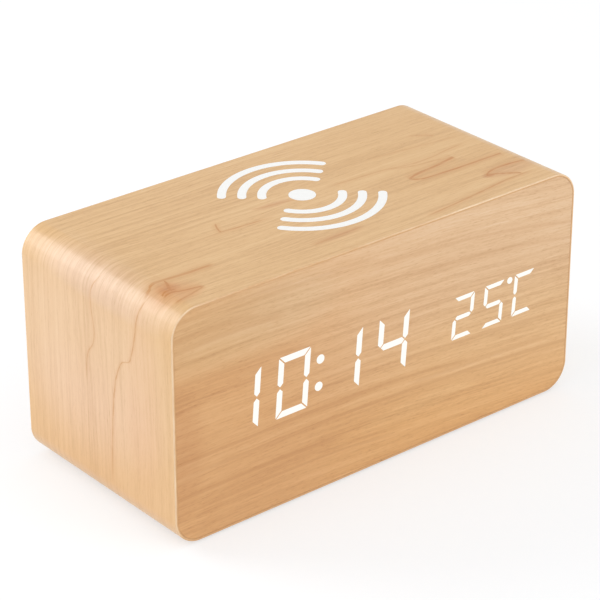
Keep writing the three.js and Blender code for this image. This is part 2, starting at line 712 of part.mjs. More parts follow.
// One digit's cavities: full size at the front, just wide enough for a light chip behind.
function digitCavities(x, width, height, stroke) {
  const taper = (stroke - LIGHT_WIDTH) / 2 - LIGHT_CLEARANCE;
  return segmentOutlines(width, height, stroke).map(({ outline, upright }) => {
    const front = slanted(outline, x);
    return { front, back: insetOutline(front, taper), upright };
  });
}

function dotCavity(diameter, x, z) {
  const lean = z * Math.tan(THREE.MathUtils.degToRad(SLANT_DEGREES));
  const backDiameter = Math.hypot(LIGHT_LENGTH, LIGHT_WIDTH) + 2 * LIGHT_CLEARANCE;
  const front = circleOutline(diameter, x + lean, z);
  return { front, back: circleOutline(backDiameter, x + lean, z), upright: false };
}

function displayCavities() {
  const first = (DIGIT_WIDTH - DIGIT_SPAN) / 2;
  const second = first + DIGIT_PITCH;
  const third = second + COLON_PITCH;
  const fourth = third + DIGIT_PITCH;
  const small = fourth + (DIGIT_WIDTH + SMALL_WIDTH) / 2 + GROUP_SPACE;
  const colonX = (second + third) / 2;
  const degreeZ = (SMALL_HEIGHT - DEGREE_DOT) / 2;
  const large = [first, second, third, fourth];
  const smalls = [0, 1, 2].map((place) => small + place * SMALL_PITCH);
  const degreeX = (smalls[1] + smalls[2]) / 2;
  return [
    ...large.flatMap((x) => digitCavities(x, DIGIT_WIDTH, DIGIT_HEIGHT, DIGIT_STROKE)),
    ...smalls.flatMap((x) => digitCavities(x, SMALL_WIDTH, SMALL_HEIGHT, SMALL_STROKE)),
    dotCavity(COLON_DOT, colonX, COLON_SPREAD / 2),
    dotCavity(COLON_DOT, colonX, -COLON_SPREAD / 2),
    dotCavity(DEGREE_DOT, degreeX, degreeZ),
  ];
}

function displayBoard(cavities) {
  const board = block(
    span(0, DISPLAY_BOARD_WIDTH),
    [DISPLAY_BOARD_FRONT_Y, DISPLAY_BOARD_BACK_Y],
    span(0, DISPLAY_BOARD_HEIGHT),
  );
  const depths = [DISPLAY_BOARD_FRONT_Y - LIGHT_HEIGHT, DISPLAY_BOARD_FRONT_Y + FUSE_DEPTH];
  const lights = cavities.map(({ back, upright }) => {
    const middle = middleOf(back);
    const width = upright ? LIGHT_WIDTH : LIGHT_LENGTH;
    const height = upright ? LIGHT_LENGTH : LIGHT_WIDTH;
    return block(span(middle.x, width), depths, span(middle.y, height));
  });
  const header = block(
    span(RIBBON_X - DISPLAY_SHIFT, RIBBON_WIDTH + 2 * HEADER_MARGIN),
    [DISPLAY_BOARD_BACK_Y - FUSE_DEPTH, DISPLAY_BOARD_BACK_Y + HEADER_DEPTH],
    span(RIBBON_RISE, HEADER_HEIGHT),
  );
  const through = [DISPLAY_BOARD_FRONT_Y - OVERRUN, DISPLAY_BOARD_BACK_Y + OVERRUN];
  const holes = displayCorners().map(([x, z]) => cylinderY(PILOT, through, x, z, SMALL_SIDES));
  return cut(join(board, header, ...lights), ...holes);
}

function buildDisplay() {
  const cavities = displayCavities();
  const diffuserBack = PANEL_FRONT_Y + DIFFUSER_THICKNESS;
  const reflectorDepths = [diffuserBack + SEAT_GAP, PANEL_BACK_Y];
  const faceX = span(0, REFLECTOR_WIDTH);
  const faceZ = span(0, REFLECTOR_HEIGHT);
  const openings = cavities.map(({ front, back }) => {
    return loft(front, reflectorDepths[0] - SEAT_GAP, back, PANEL_BACK_Y + SEAT_GAP);
  });
  const screws = displayCorners().map(([x, z], i) => {
    const grip = CIRCUIT_THICKNESS + SEAT_GAP + FRONT_PANEL_THICKNESS - 2 * SCREW_COVER;
    const fastener = screw(`display_screw_${i + 1}`, grip);
    fastener.position.set(x, DISPLAY_BOARD_BACK_Y + SEAT_GAP, z);
    return fastener;
  });
  const group = assembly(
    piece('display_diffuser', block(faceX, [PANEL_FRONT_Y, diffuserBack], faceZ), MILKY_SHEET),
    piece('display_reflector', cut(block(faceX, reflectorDepths, faceZ), ...openings), WHITE_PLASTIC),
    piece('display_board', displayBoard(cavities), CIRCUIT_GREEN),
    screws,
  );
  group.position.set(DISPLAY_SHIFT, 0, DISPLAY_Z);
  return group;
}

// Controls: the plate in the rear opening, and the buttons that run in it.

function stationX(name) {
  return STATIONS.indexOf(name) * CONTROL_PITCH - CONTROL_SPAN / 2;
}

function usbOutline(inset) {
  const w = USB_WIDTH / 2;
  const h = USB_HEIGHT / 2;
  const outline = [
    new THREE.Vector2(w, h),
    new THREE.Vector2(-w, h),
    new THREE.Vector2(-w, USB_CHAMFER - h),
    new THREE.Vector2(USB_CHAMFER - w, -h),
    new THREE.Vector2(w - USB_CHAMFER, -h),
    new THREE.Vector2(w, USB_CHAMFER - h),
  ];
  return insetOutline(outline, inset);
}

function usbPrism(inset, [y0, y1]) {
  const outline = usbOutline(inset);
  return loft(outline, y0, outline, y1).translate(stationX('usb'), 0, 0);
}

function controlPlate() {
  const depths = [PLATE_INNER_Y, PLATE_OUTER_Y];
  const through = [PLATE_INNER_Y - OVERRUN, PLATE_OUTER_Y + OVERRUN];
  const bossDepths = [PLATE_INNER_Y - BOSS_LENGTH, PLATE_INNER_Y + FUSE_DEPTH];
  const pilotDepths = [PLATE_INNER_Y - BOSS_LENGTH - OVERRUN, PLATE_INNER_Y - SCREW_COVER];
  const sides = [-1, 1];
  const bosses = sides.map((side) => cylinderY(BOSS_DIAMETER, bossDepths, side * BOSS_X));
  const pilots = sides.map((side) => cylinderY(PILOT, pilotDepths, side * BOSS_X, 0, SMALL_SIDES));
  const screwHoles = sides.map((side) => cylinderY(PILOT, through, side * PLATE_SCREW_X, 0, SMALL_SIDES));
  const buttonHole = BUTTON_DIAMETER + 2 * RUNNING_CLEARANCE;
  const buttonHoles = BUTTONS.map((name) => cylinderY(buttonHole, through, stationX(name)));
  const soundHoles = [cylinderY(SOUND_HOLE, through, stationX('buzzer'), 0, TUBE_SIDES)];
  for (let i = 0; i < SOUND_COUNT; i += 1) {
    const angle = (2 * Math.PI * i) / SOUND_COUNT;
    const x = stationX('buzzer') + (SOUND_RING / 2) * Math.cos(angle);
    soundHoles.push(cylinderY(SOUND_HOLE, through, x, (SOUND_RING / 2) * Math.sin(angle), TUBE_SIDES));
  }
  const vents = [];
  for (let i = 0; i < VENT_COUNT; i += 1) {
    const x = stationX('sensor') + (i - (VENT_COUNT - 1) / 2) * (VENT_WIDTH + VENT_SPACE);
    vents.push(block(span(x, VENT_WIDTH), through, span(0, VENT_HEIGHT)));
  }
  const plate = join(stadium(PLATE_LENGTH, PLATE_HEIGHT, depths), ...bosses);
  const socket = usbPrism(-RUNNING_CLEARANCE, through);
  return cut(plate, socket, ...pilots, ...screwHoles, ...buttonHoles, ...soundHoles, ...vents);
}

// A button along Y with its flange's outer face at zero.
function buttonBody() {
  const radius = BUTTON_DIAMETER / 2;
  const top = SEAT_GAP + PLATE_THICKNESS + BUTTON_PROUD;
  const stemEnd = -FLANGE_THICKNESS - STEM_LENGTH;
  return revolve([
    [0, stemEnd],
    [STEM_DIAMETER / 2, stemEnd],
    [STEM_DIAMETER / 2, -FLANGE_THICKNESS],
    [FLANGE_DIAMETER / 2, -FLANGE_THICKNESS],
    [FLANGE_DIAMETER / 2, 0],
    [radius, 0],
    [radius, top - BUTTON_EDGE],
    [radius - BUTTON_EDGE, top],
    [radius - 2 * BUTTON_EDGE, top],
    [0, top - BUTTON_DISH],
  ]);
}

function switchHousing() {
  const outline = roundedOutline(SWITCH_SIZE, SWITCH_SIZE, SWITCH_CORNER);
  const bore = PLUNGER_DIAMETER + 2 * RUNNING_CLEARANCE;
  const boreDepth = PLUNGER_INSIDE + BUTTON_TRAVEL + RUNNING_CLEARANCE;
  return cut(slab(outline, [-SWITCH_HEIGHT, 0], CORNER_STEPS), cylinderY(bore, [-boreDepth, OVERRUN]));
}

function buildControls() {
  const button = buttonBody();
  const housing = switchHousing();
  const plunger = cylinderY(PLUNGER_DIAMETER, [-PLUNGER_INSIDE, PLUNGER_PROUD]);
  const keys = BUTTONS.flatMap((name) => {
    const cap = piece(`${name}_button`, button, BLACK_PLASTIC);
    const body = piece(`${name}_switch_housing`, housing, BLACK_PLASTIC);
    const pin = piece(`${name}_switch_plunger`, plunger, WHITE_PLASTIC);
    cap.position.set(stationX(name), FLANGE_Y, 0);
    body.position.set(stationX(name), SWITCH_TOP_Y, 0);
    pin.position.set(stationX(name), SWITCH_TOP_Y, 0);
    return [cap, body, pin];
  });
  const plateGrip = SEAT_GAP + PLATE_THICKNESS + LEDGE_THICKNESS - SCREW_COVER / 2;
  const plateScrews = [['left', -1], ['right', 1]].map(([side, sign]) => {
    const fastener = screw(`plate_screw_${side}`, plateGrip);
    fastener.position.set(sign * PLATE_SCREW_X, PLATE_OUTER_Y + SEAT_GAP, 0);
    return fastener;
  });
  const group = assembly(piece('control_plate', controlPlate(), BLACK_PLASTIC), keys, plateScrews);
  group.position.z = CONTROL_Z;
  return group;
}

// Main board: it hangs on the plate's bosses and carries the inlet, buzzer, sensor and cell.

function mainBoard() {
  const board = block(
    span(0, MAIN_BOARD_WIDTH),
    [BOARD_INNER_Y, BOARD_OUTER_Y],
    span(0, MAIN_BOARD_HEIGHT),
  );
  const header = block(
    span(RIBBON_X, RIBBON_WIDTH + 2 * HEADER_MARGIN),
    [BOARD_INNER_Y - HEADER_DEPTH, BOARD_INNER_Y + FUSE_DEPTH],
    span(RIBBON_RISE, HEADER_HEIGHT),
  );
  const through = [BOARD_INNER_Y - OVERRUN, BOARD_OUTER_Y + OVERRUN];
  const holes = [-BOSS_X, BOSS_X].map((x) => cylinderY(PILOT, through, x, 0, SMALL_SIDES));
  return cut(join(board, header), ...holes);
}

function usbInsert() {
  const base = BOARD_OUTER_Y + SEAT_GAP;
  const room = usbPrism(USB_WALL + SEAT_GAP, [base, base + USB_BLOCK]);
  const tongue = block(
    span(stationX('usb'), USB_TONGUE_WIDTH),
    [base + USB_BLOCK - FUSE_DEPTH, PLATE_OUTER_Y - USB_TONGUE_SETBACK],
    span(0, USB_TONGUE_THICKNESS),
  );
  return join(room, tongue);
}

function usbShell() {
  const depths = [BOARD_OUTER_Y + SEAT_GAP, PLATE_OUTER_Y];
  const through = [depths[0] - OVERRUN, depths[1] + OVERRUN];
  return cut(usbPrism(0, depths), usbPrism(USB_WALL, through));
}

function buzzer() {
  const radius = BUZZER_DIAMETER / 2;
  const body = revolve([
    [0, 0],
    [radius, 0],
    [radius, BUZZER_HEIGHT - BUZZER_EDGE],
    [radius - BUZZER_EDGE, BUZZER_HEIGHT],
    [BUZZER_HOLE / 2, BUZZER_HEIGHT],
    [BUZZER_HOLE / 2, BUZZER_HEIGHT - BUZZER_HOLE_DEPTH],
    [0, BUZZER_HEIGHT - BUZZER_HOLE_DEPTH],
  ]);
  return body.translate(stationX('buzzer'), BOARD_OUTER_Y + SEAT_GAP, 0);
}

function temperatureSensor() {
  const base = BOARD_OUTER_Y + SEAT_GAP;
  const bead = new THREE.SphereGeometry(SENSOR_BEAD / 2, SCREW_SIDES, TUBE_SIDES);
  bead.translate(stationX('sensor'), base + SENSOR_REACH, 0);
  const legs = [-1, 1].map((side) => {
    const x = stationX('sensor') + (side * SENSOR_LEG_PITCH) / 2;
    return cylinderY(SENSOR_LEG, [base, base + SENSOR_REACH], x, 0, TUBE_SIDES);
  });
  return join(bead, ...legs);
}

// Holder, cell and clip stand on the board's inner face and face the display.
function cellHolder() {
  const top = BOARD_INNER_Y - SEAT_GAP;
  const rim = top - HOLDER_BASE - SEAT_GAP - CELL_THICKNESS;
  const bore = CELL_DIAMETER + 2 * CELL_CLEARANCE;
  const body = cylinderY(HOLDER_DIAMETER, [rim, top], CELL_X, 0, CELL_SIDES);
  const room = cylinderY(bore, [rim - OVERRUN, top - HOLDER_BASE], CELL_X, 0, CELL_SIDES);
  const notch = block(
    span(CELL_X, HOLDER_NOTCH),
    [rim - OVERRUN, top - HOLDER_BASE],
    [0, HOLDER_DIAMETER],
  );
  return cut(body, room, notch);
}

function coinCell() {
  const radius = CELL_DIAMETER / 2;
  const body = revolve([
    [0, 0],
    [radius - CELL_EDGE, 0],
    [radius, CELL_EDGE],
    [radius, CELL_THICKNESS - CELL_CAP_HEIGHT],
    [radius - CELL_STEP, CELL_THICKNESS - CELL_CAP_HEIGHT],
    [radius - CELL_STEP - CELL_EDGE, CELL_THICKNESS],
    [0, CELL_THICKNESS],
  ], CELL_SIDES);
  const back = BOARD_INNER_Y - 2 * SEAT_GAP - HOLDER_BASE;
  return body.translate(CELL_X, back - CELL_THICKNESS, 0);
}

function cellClip() {
  const foot = BOARD_INNER_Y - SEAT_GAP;
  const under = foot - HOLDER_BASE - CELL_THICKNESS - 2 * SEAT_GAP;
  const room = HOLDER_DIAMETER + 2 * CELL_CLEARANCE;
  const strap = block(
    span(CELL_X, room + 2 * CLIP_THICKNESS),
    [under - CLIP_THICKNESS, foot],
    span(0, CLIP_WIDTH),
  );
  return cut(strap, block(span(CELL_X, room), [under, foot + OVERRUN], span(0, CLIP_WIDTH + OVERRUN)));
}

function buildMainBoard() {
  const grip = CIRCUIT_THICKNESS + SEAT_GAP + BOSS_LENGTH - 2 * SCREW_COVER;
  const screws = [['left', -1], ['right', 1]].map(([side, sign]) => {
    const fastener = screw(`main_board_screw_${side}`, grip);
    fastener.rotation.z = Math.PI;
    fastener.position.set(sign * BOSS_X, BOARD_INNER_Y - SEAT_GAP, 0);
    return fastener;
  });
  const group = assembly(
    piece('main_board', mainBoard(), CIRCUIT_GREEN),
    piece('usb_shell', usbShell(), STEEL),
    piece('usb_insert', usbInsert(), BLACK_PLASTIC),
    piece('buzzer', buzzer(), BLACK_PLASTIC),
    piece('temperature_sensor', temperatureSensor(), BLACK_PLASTIC),
    piece('coin_cell_holder', cellHolder(), BLACK_PLASTIC),
    piece('coin_cell', coinCell(), STEEL),
    piece('cell_clip', cellClip(), STEEL),
    screws,
  );
  group.position.z = CONTROL_Z;
  return group;
}

// Charger: one wound wire under the top, its shield and tape, and the board that drives it.

function onCircle(radius, angle, z) {
  return new THREE.Vector3(radius * Math.cos(angle), CARCASS_MID_Y + radius * Math.sin(angle), z);
}

const LEAD_OUT_ANGLE = Math.PI + THREE.MathUtils.degToRad(LEAD_OUT_DEGREES);

// The wire climbs from the board, runs in under the turns, winds outwards and goes down again.
function coilPoints() {
  const landing = CHARGER_TOP_Z + SEAT_GAP;
  const spiral = [];
  const steps = COIL_TURNS * COIL_STEPS;
  for (let i = 0; i <= steps; i += 1) {
    const turns = i / COIL_STEPS;
    spiral.push(onCircle(COIL_FIRST_RADIUS + turns * TURN_PITCH, Math.PI + 2 * Math.PI * turns, COIL_Z));
  }
  const middle = onCircle((COIL_LAST_RADIUS + LEAD_RADIUS) / 2, (Math.PI + LEAD_OUT_ANGLE) / 2, COIL_Z);
  const inner = bentRun([
    onCircle(LEAD_RADIUS, Math.PI, landing),
    onCircle(LEAD_RADIUS, Math.PI, LEAD_Z),
    onCircle(COIL_FIRST_RADIUS, Math.PI, LEAD_Z),
    spiral[0],
    spiral[1],
  ], LEAD_BEND);
  const outer = bentRun([
    middle,
    onCircle(LEAD_RADIUS, LEAD_OUT_ANGLE, COIL_Z),
    onCircle(LEAD_RADIUS, LEAD_OUT_ANGLE, landing),
  ], LEAD_BEND);
  return [...inner, ...spiral.slice(2), ...outer];
}

// Least clear distance between stretches of the wire that are half a turn or more apart.
function leastGap(points) {
  const run = new THREE.Line3();
  const nearest = new THREE.Vector3();
  let least = Infinity;
  for (let i = 0; i < points.length; i += 1) {
    for (let j = i + COIL_STEPS / 2; j < points.length - 1; j += 1) {
      run.set(points[j], points[j + 1]).closestPointToPoint(points[i], true, nearest);
      least = Math.min(least, nearest.distanceTo(points[i]));
    }
  }
  return least - WIRE_DIAMETER;
}

function leadSlot(heights) {
  const xs = [-POCKET_RADIUS - OVERRUN, LEAD_ROOM - COIL_FIRST_RADIUS];
  return block(xs, span(CARCASS_MID_Y, LEAD_ROOM), heights);
}

function ferriteShield() {
  const heights = [FERRITE_TOP_Z - FERRITE_THICKNESS, FERRITE_TOP_Z];
  const disc = cylinderZ(2 * FERRITE_RADIUS, heights, 0, CARCASS_MID_Y, POCKET_SIDES);
  return cut(disc, leadSlot([heights[0] - OVERRUN, heights[1] + OVERRUN]));
}

function coilTape() {
  const heights = [TAPE_TOP_Z - TAPE_THICKNESS, TAPE_TOP_Z];
  const through = [heights[0] - OVERRUN, heights[1] + OVERRUN];
  const exit = onCircle(LEAD_RADIUS, LEAD_OUT_ANGLE, 0);
  const disc = cylinderZ(2 * (POCKET_RADIUS - TAPE_GAP), heights, 0, CARCASS_MID_Y, POCKET_SIDES);
  const notch = cylinderZ(LEAD_ROOM, through, exit.x, exit.y, SMALL_SIDES);
  return cut(disc, leadSlot(through), notch);
}

// A chip on the charger board, placed from the board's middle.
function chip(x, y, length, width, height) {
  const rise = [CHARGER_TOP_Z - FUSE_DEPTH, CHARGER_TOP_Z + height];
  return block(span(CHARGER_X + x, length), span(CHARGER_Y + y, width), rise);
}

function chargerBoard() {
  const heights = [CHARGER_BOTTOM_Z, CHARGER_TOP_Z];
  const board = block(span(CHARGER_X, CHARGER_LENGTH), span(CHARGER_Y, CHARGER_WIDTH), heights);
  const driverX = CHIP_EDGE + (DRIVER_SIZE - CHARGER_LENGTH) / 2;
  const driverY = -(CHIP_SPACE + DRIVER_SIZE) / 2;
  const regulatorY = (CHIP_SPACE + REGULATOR_WIDTH) / 2;
  const inductorX = driverX + CHIP_SPACE + (DRIVER_SIZE + INDUCTOR_SIZE) / 2;
  const chips = [
    chip(driverX, driverY, DRIVER_SIZE, DRIVER_SIZE, DRIVER_HEIGHT),
    chip(driverX, regulatorY, REGULATOR_LENGTH, REGULATOR_WIDTH, REGULATOR_HEIGHT),
    chip(inductorX, driverY, INDUCTOR_SIZE, INDUCTOR_SIZE, INDUCTOR_HEIGHT),
  ];
  const through = [CHARGER_BOTTOM_Z - OVERRUN, CHARGER_TOP_Z + OVERRUN];
  const holes = chargerHoles().map((hole) => {
    return cylinderZ(PILOT, through, CHARGER_X + hole.x, CHARGER_Y + hole.y, SMALL_SIDES);
  });
  return cut(join(board, ...chips), ...holes);
}

function spacer() {
  const outer = SPACER_DIAMETER / 2;
  const inner = PILOT / 2;
  return revolve([
    [inner, 0],
    [outer, 0],
    [outer, SPACER_HEIGHT],
    [inner, SPACER_HEIGHT],
    [inner, 0],
  ], 2 * TUBE_SIDES);
}

function buildCharger() {
  const points = coilPoints();
  console.log(`least gap between turns of charging_coil: ${leastGap(points).toFixed(3)} mm`);
  const tubeBody = spacer();
  const posts = chargerHoles().flatMap((hole, i) => {
    const post = piece(`charger_spacer_${i + 1}`, tubeBody, WHITE_PLASTIC);
    const grip = CHARGER_TOP_Z + SEAT_GAP - FLOOR_Z + BOARD_THICKNESS - 2 * SCREW_COVER;
    const fastener = screw(`charger_screw_${i + 1}`, grip);
    post.rotation.x = Math.PI / 2;
    post.position.set(CHARGER_X + hole.x, CHARGER_Y + hole.y, FLOOR_Z + SEAT_GAP);
    fastener.rotation.x = Math.PI / 2;
    fastener.position.set(CHARGER_X + hole.x, CHARGER_Y + hole.y, CHARGER_TOP_Z + SEAT_GAP);
    return [post, fastener];
  });
  return assembly(
    piece('charging_coil', tube(points, WIRE_DIAMETER, COIL_SIDES), COPPER),
    piece('ferrite_shield', ferriteShield(), FERRITE),
    piece('coil_tape', coilTape(), AMBER_TAPE),
    piece('charger_board', chargerBoard(), CIRCUIT_GREEN),
    posts,
  );
}

// Wiring held inside: a flat ribbon to the display and two leads to the charger board.

function displayRibbon() {
  const rear = new THREE.Vector2(BOARD_INNER_Y - HEADER_DEPTH - SEAT_GAP, CONTROL_Z + RIBBON_RISE);
  const front = new THREE.Vector2(DISPLAY_BOARD_BACK_Y + HEADER_DEPTH + SEAT_GAP, DISPLAY_Z + RIBBON_RISE);
  const middle = (rear.x + front.x) / 2;
  const leave = new THREE.Vector2(middle, rear.y);
  const arrive = new THREE.Vector2(middle, front.y);
  const line = new THREE.CubicBezierCurve(rear, leave, arrive, front);
  const edges = [1, -1].map((side) => line.getPoints(RIBBON_STEPS).map((point, i) => {
    const along = line.getTangent(i / RIBBON_STEPS);
    const across = new THREE.Vector2(-along.y, along.x);
    return point.addScaledVector(across, (side * RIBBON_THICKNESS) / 2);
  }));
  const band = new THREE.Shape([...edges[0], ...edges[1].reverse()]);
  const settings = { depth: RIBBON_WIDTH, bevelEnabled: false };
  const geometry = new THREE.ExtrudeGeometry(band, settings);
  geometry.rotateX(Math.PI / 2).rotateZ(Math.PI / 2);
  return geometry.translate(RIBBON_X - RIBBON_WIDTH / 2, 0, 0);
}

function powerLead(place) {
  const x = CHARGER_X + POWER_LEAD_INSET + place * (POWER_LEAD + POWER_LEAD_SPACE);
  const rear = BOARD_INNER_Y - SEAT_GAP;
  const landing = new THREE.Vector3(x, rear - POWER_LEAD_RUN - POWER_LEAD_BEND, CHARGER_TOP_Z + SEAT_GAP);
  const z = landing.z + POWER_LEAD_END + POWER_LEAD_BEND;
  const corners = [
    new THREE.Vector3(x, rear, z),
    new THREE.Vector3(x, landing.y, z),
    landing,
  ];
  return tube(bentRun(corners, POWER_LEAD_BEND), POWER_LEAD);
}

function buildWiring() {
  return assembly(
    piece('display_ribbon', displayRibbon(), GREY_RIBBON),
    piece('power_lead_positive', powerLead(0), RED_INSULATION),
    piece('power_lead_negative', powerLead(1), BLACK_INSULATION),
  );
}

const clock = assembly(
  buildCase(),
  buildFeet(),
  buildDisplay(),
  buildControls(),
  buildMainBoard(),
  buildCharger(),
  buildWiring(),
);

export default clock;
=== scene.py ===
"""Looks of a bedside alarm clock with a charging top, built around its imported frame.

Pieces are modelled in millimetres on the frame's axes: X is the width, Y the depth with the
display facing -Y, and Z is up. A piece is scaled to metres when it is settled.
"""

import json
import logging
import math
from dataclasses import dataclass, replace
from enum import Enum
from typing import Callable, ClassVar, Iterable, Mapping, Optional, Sequence, Union

import bmesh
import bpy
from mathutils import Matrix, Vector


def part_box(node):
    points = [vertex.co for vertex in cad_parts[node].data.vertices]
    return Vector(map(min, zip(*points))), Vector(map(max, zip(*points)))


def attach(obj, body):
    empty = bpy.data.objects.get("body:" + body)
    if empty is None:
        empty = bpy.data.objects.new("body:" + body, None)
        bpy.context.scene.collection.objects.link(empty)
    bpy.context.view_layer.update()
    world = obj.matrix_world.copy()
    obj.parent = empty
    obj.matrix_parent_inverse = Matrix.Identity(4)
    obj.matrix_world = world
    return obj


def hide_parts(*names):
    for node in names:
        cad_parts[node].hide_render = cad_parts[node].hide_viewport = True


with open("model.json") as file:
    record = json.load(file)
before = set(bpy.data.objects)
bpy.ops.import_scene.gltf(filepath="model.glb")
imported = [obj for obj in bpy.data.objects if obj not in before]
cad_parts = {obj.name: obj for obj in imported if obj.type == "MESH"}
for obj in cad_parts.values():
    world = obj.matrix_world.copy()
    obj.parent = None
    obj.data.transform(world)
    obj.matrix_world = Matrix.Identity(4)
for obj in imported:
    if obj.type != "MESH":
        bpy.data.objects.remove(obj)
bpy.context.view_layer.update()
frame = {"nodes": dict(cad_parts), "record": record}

LOG = logging.getLogger("clock")
MM = 0.001
PER_METRE = 1000.0
GRAIN_MAP = "grain"
MERGE_DISTANCE = 1e-4
SHARP_DEGREES = 38.0
CORNER_ANGLE = 1.0
WALL_NORMAL = 0.5
EDGE_NORMAL = 0.2
CASE_BODY = "case"
WHITE = (1.0, 1.0, 1.0, 1.0)
ALONG_Y = Vector((0.0, 1.0, 0.0))
ALONG_Z = Vector((0.0, 0.0, 1.0))
UPRIGHT = Matrix.Rotation(math.pi / 2, 4, "X")

Tone = tuple[int, int, int]
Colour = tuple[float, float, float, float]
Feed = Union["Term", float, Sequence[float]]
Key = Union[str, int]
PlanePoint = tuple[float, float]
Scale = Union[float, tuple[float, float, float]]


# Shader maths


def linear(tone: Tone) -> Colour:
    """Turns a tone as a display shows it into a linear colour.

    Args:
        tone: Red, green and blue from 0 to 255.

    Returns:
        The linear colour, with full alpha.
    """
    shares = [value / 255 for value in tone]
    levels = [s / 12.92 if s <= 0.04045 else ((s + 0.055) / 1.055) ** 2.4 for s in shares]
    return (levels[0], levels[1], levels[2], 1.0)


class Term:
    """A shader socket that takes part in Python expressions."""

    def __init__(self, graph: "Graph", socket: bpy.types.NodeSocket) -> None:
        """Keeps the socket and the graph that it belongs to."""
        self.graph = graph
        self.socket = socket

    def maths(self, operation: str, *feeds: Feed) -> "Term":
        """Adds a Math node with its inputs in order."""
        return self.graph.node("ShaderNodeMath", {"operation": operation}, dict(enumerate(feeds)))

    def part(self, key: Key) -> "Term":
        """Gives another output of the same node."""
        return Term(self.graph, self.graph.socket(self.socket.node.outputs, key))

    def rise(self, low: float, high: float) -> "Term":
        """Gives a smooth step from 0 at low to 1 at high."""
        feeds = {"Value": self, "From Min": low, "From Max": high}
        return self.graph.node("ShaderNodeMapRange", {"interpolation_type": "SMOOTHSTEP"}, feeds)

    def spread(self, low: float, high: float) -> "Term":
        """Gives low where the value is 0 and high where it is 1."""
        return self * (high - low) + low

    def most(self, other: Feed) -> "Term":
        """Gives the greater of two values."""
        return self.maths("MAXIMUM", self, other)

    def __add__(self, other: Feed) -> "Term":
        """Adds."""
        return self.maths("ADD", self, other)

    def __sub__(self, other: Feed) -> "Term":
        """Subtracts."""
        return self.maths("SUBTRACT", self, other)

    def __rsub__(self, other: Feed) -> "Term":
        """Subtracts from a number."""
        return self.maths("SUBTRACT", other, self)

    def __mul__(self, other: Feed) -> "Term":
        """Multiplies."""
        return self.maths("MULTIPLY", self, other)

    def __truediv__(self, other: Feed) -> "Term":
        """Divides."""
        return self.maths("DIVIDE", self, other)

    def __pow__(self, other: Feed) -> "Term":
        """Raises to a power."""
        return self.maths("POWER", self, other)

    def __mod__(self, other: Feed) -> "Term":
        """Gives the remainder, never below zero."""
        return self.maths("FLOORED_MODULO", self, other)

    def __abs__(self) -> "Term":
        """Drops the sign."""
        return self.maths("ABSOLUTE", self)


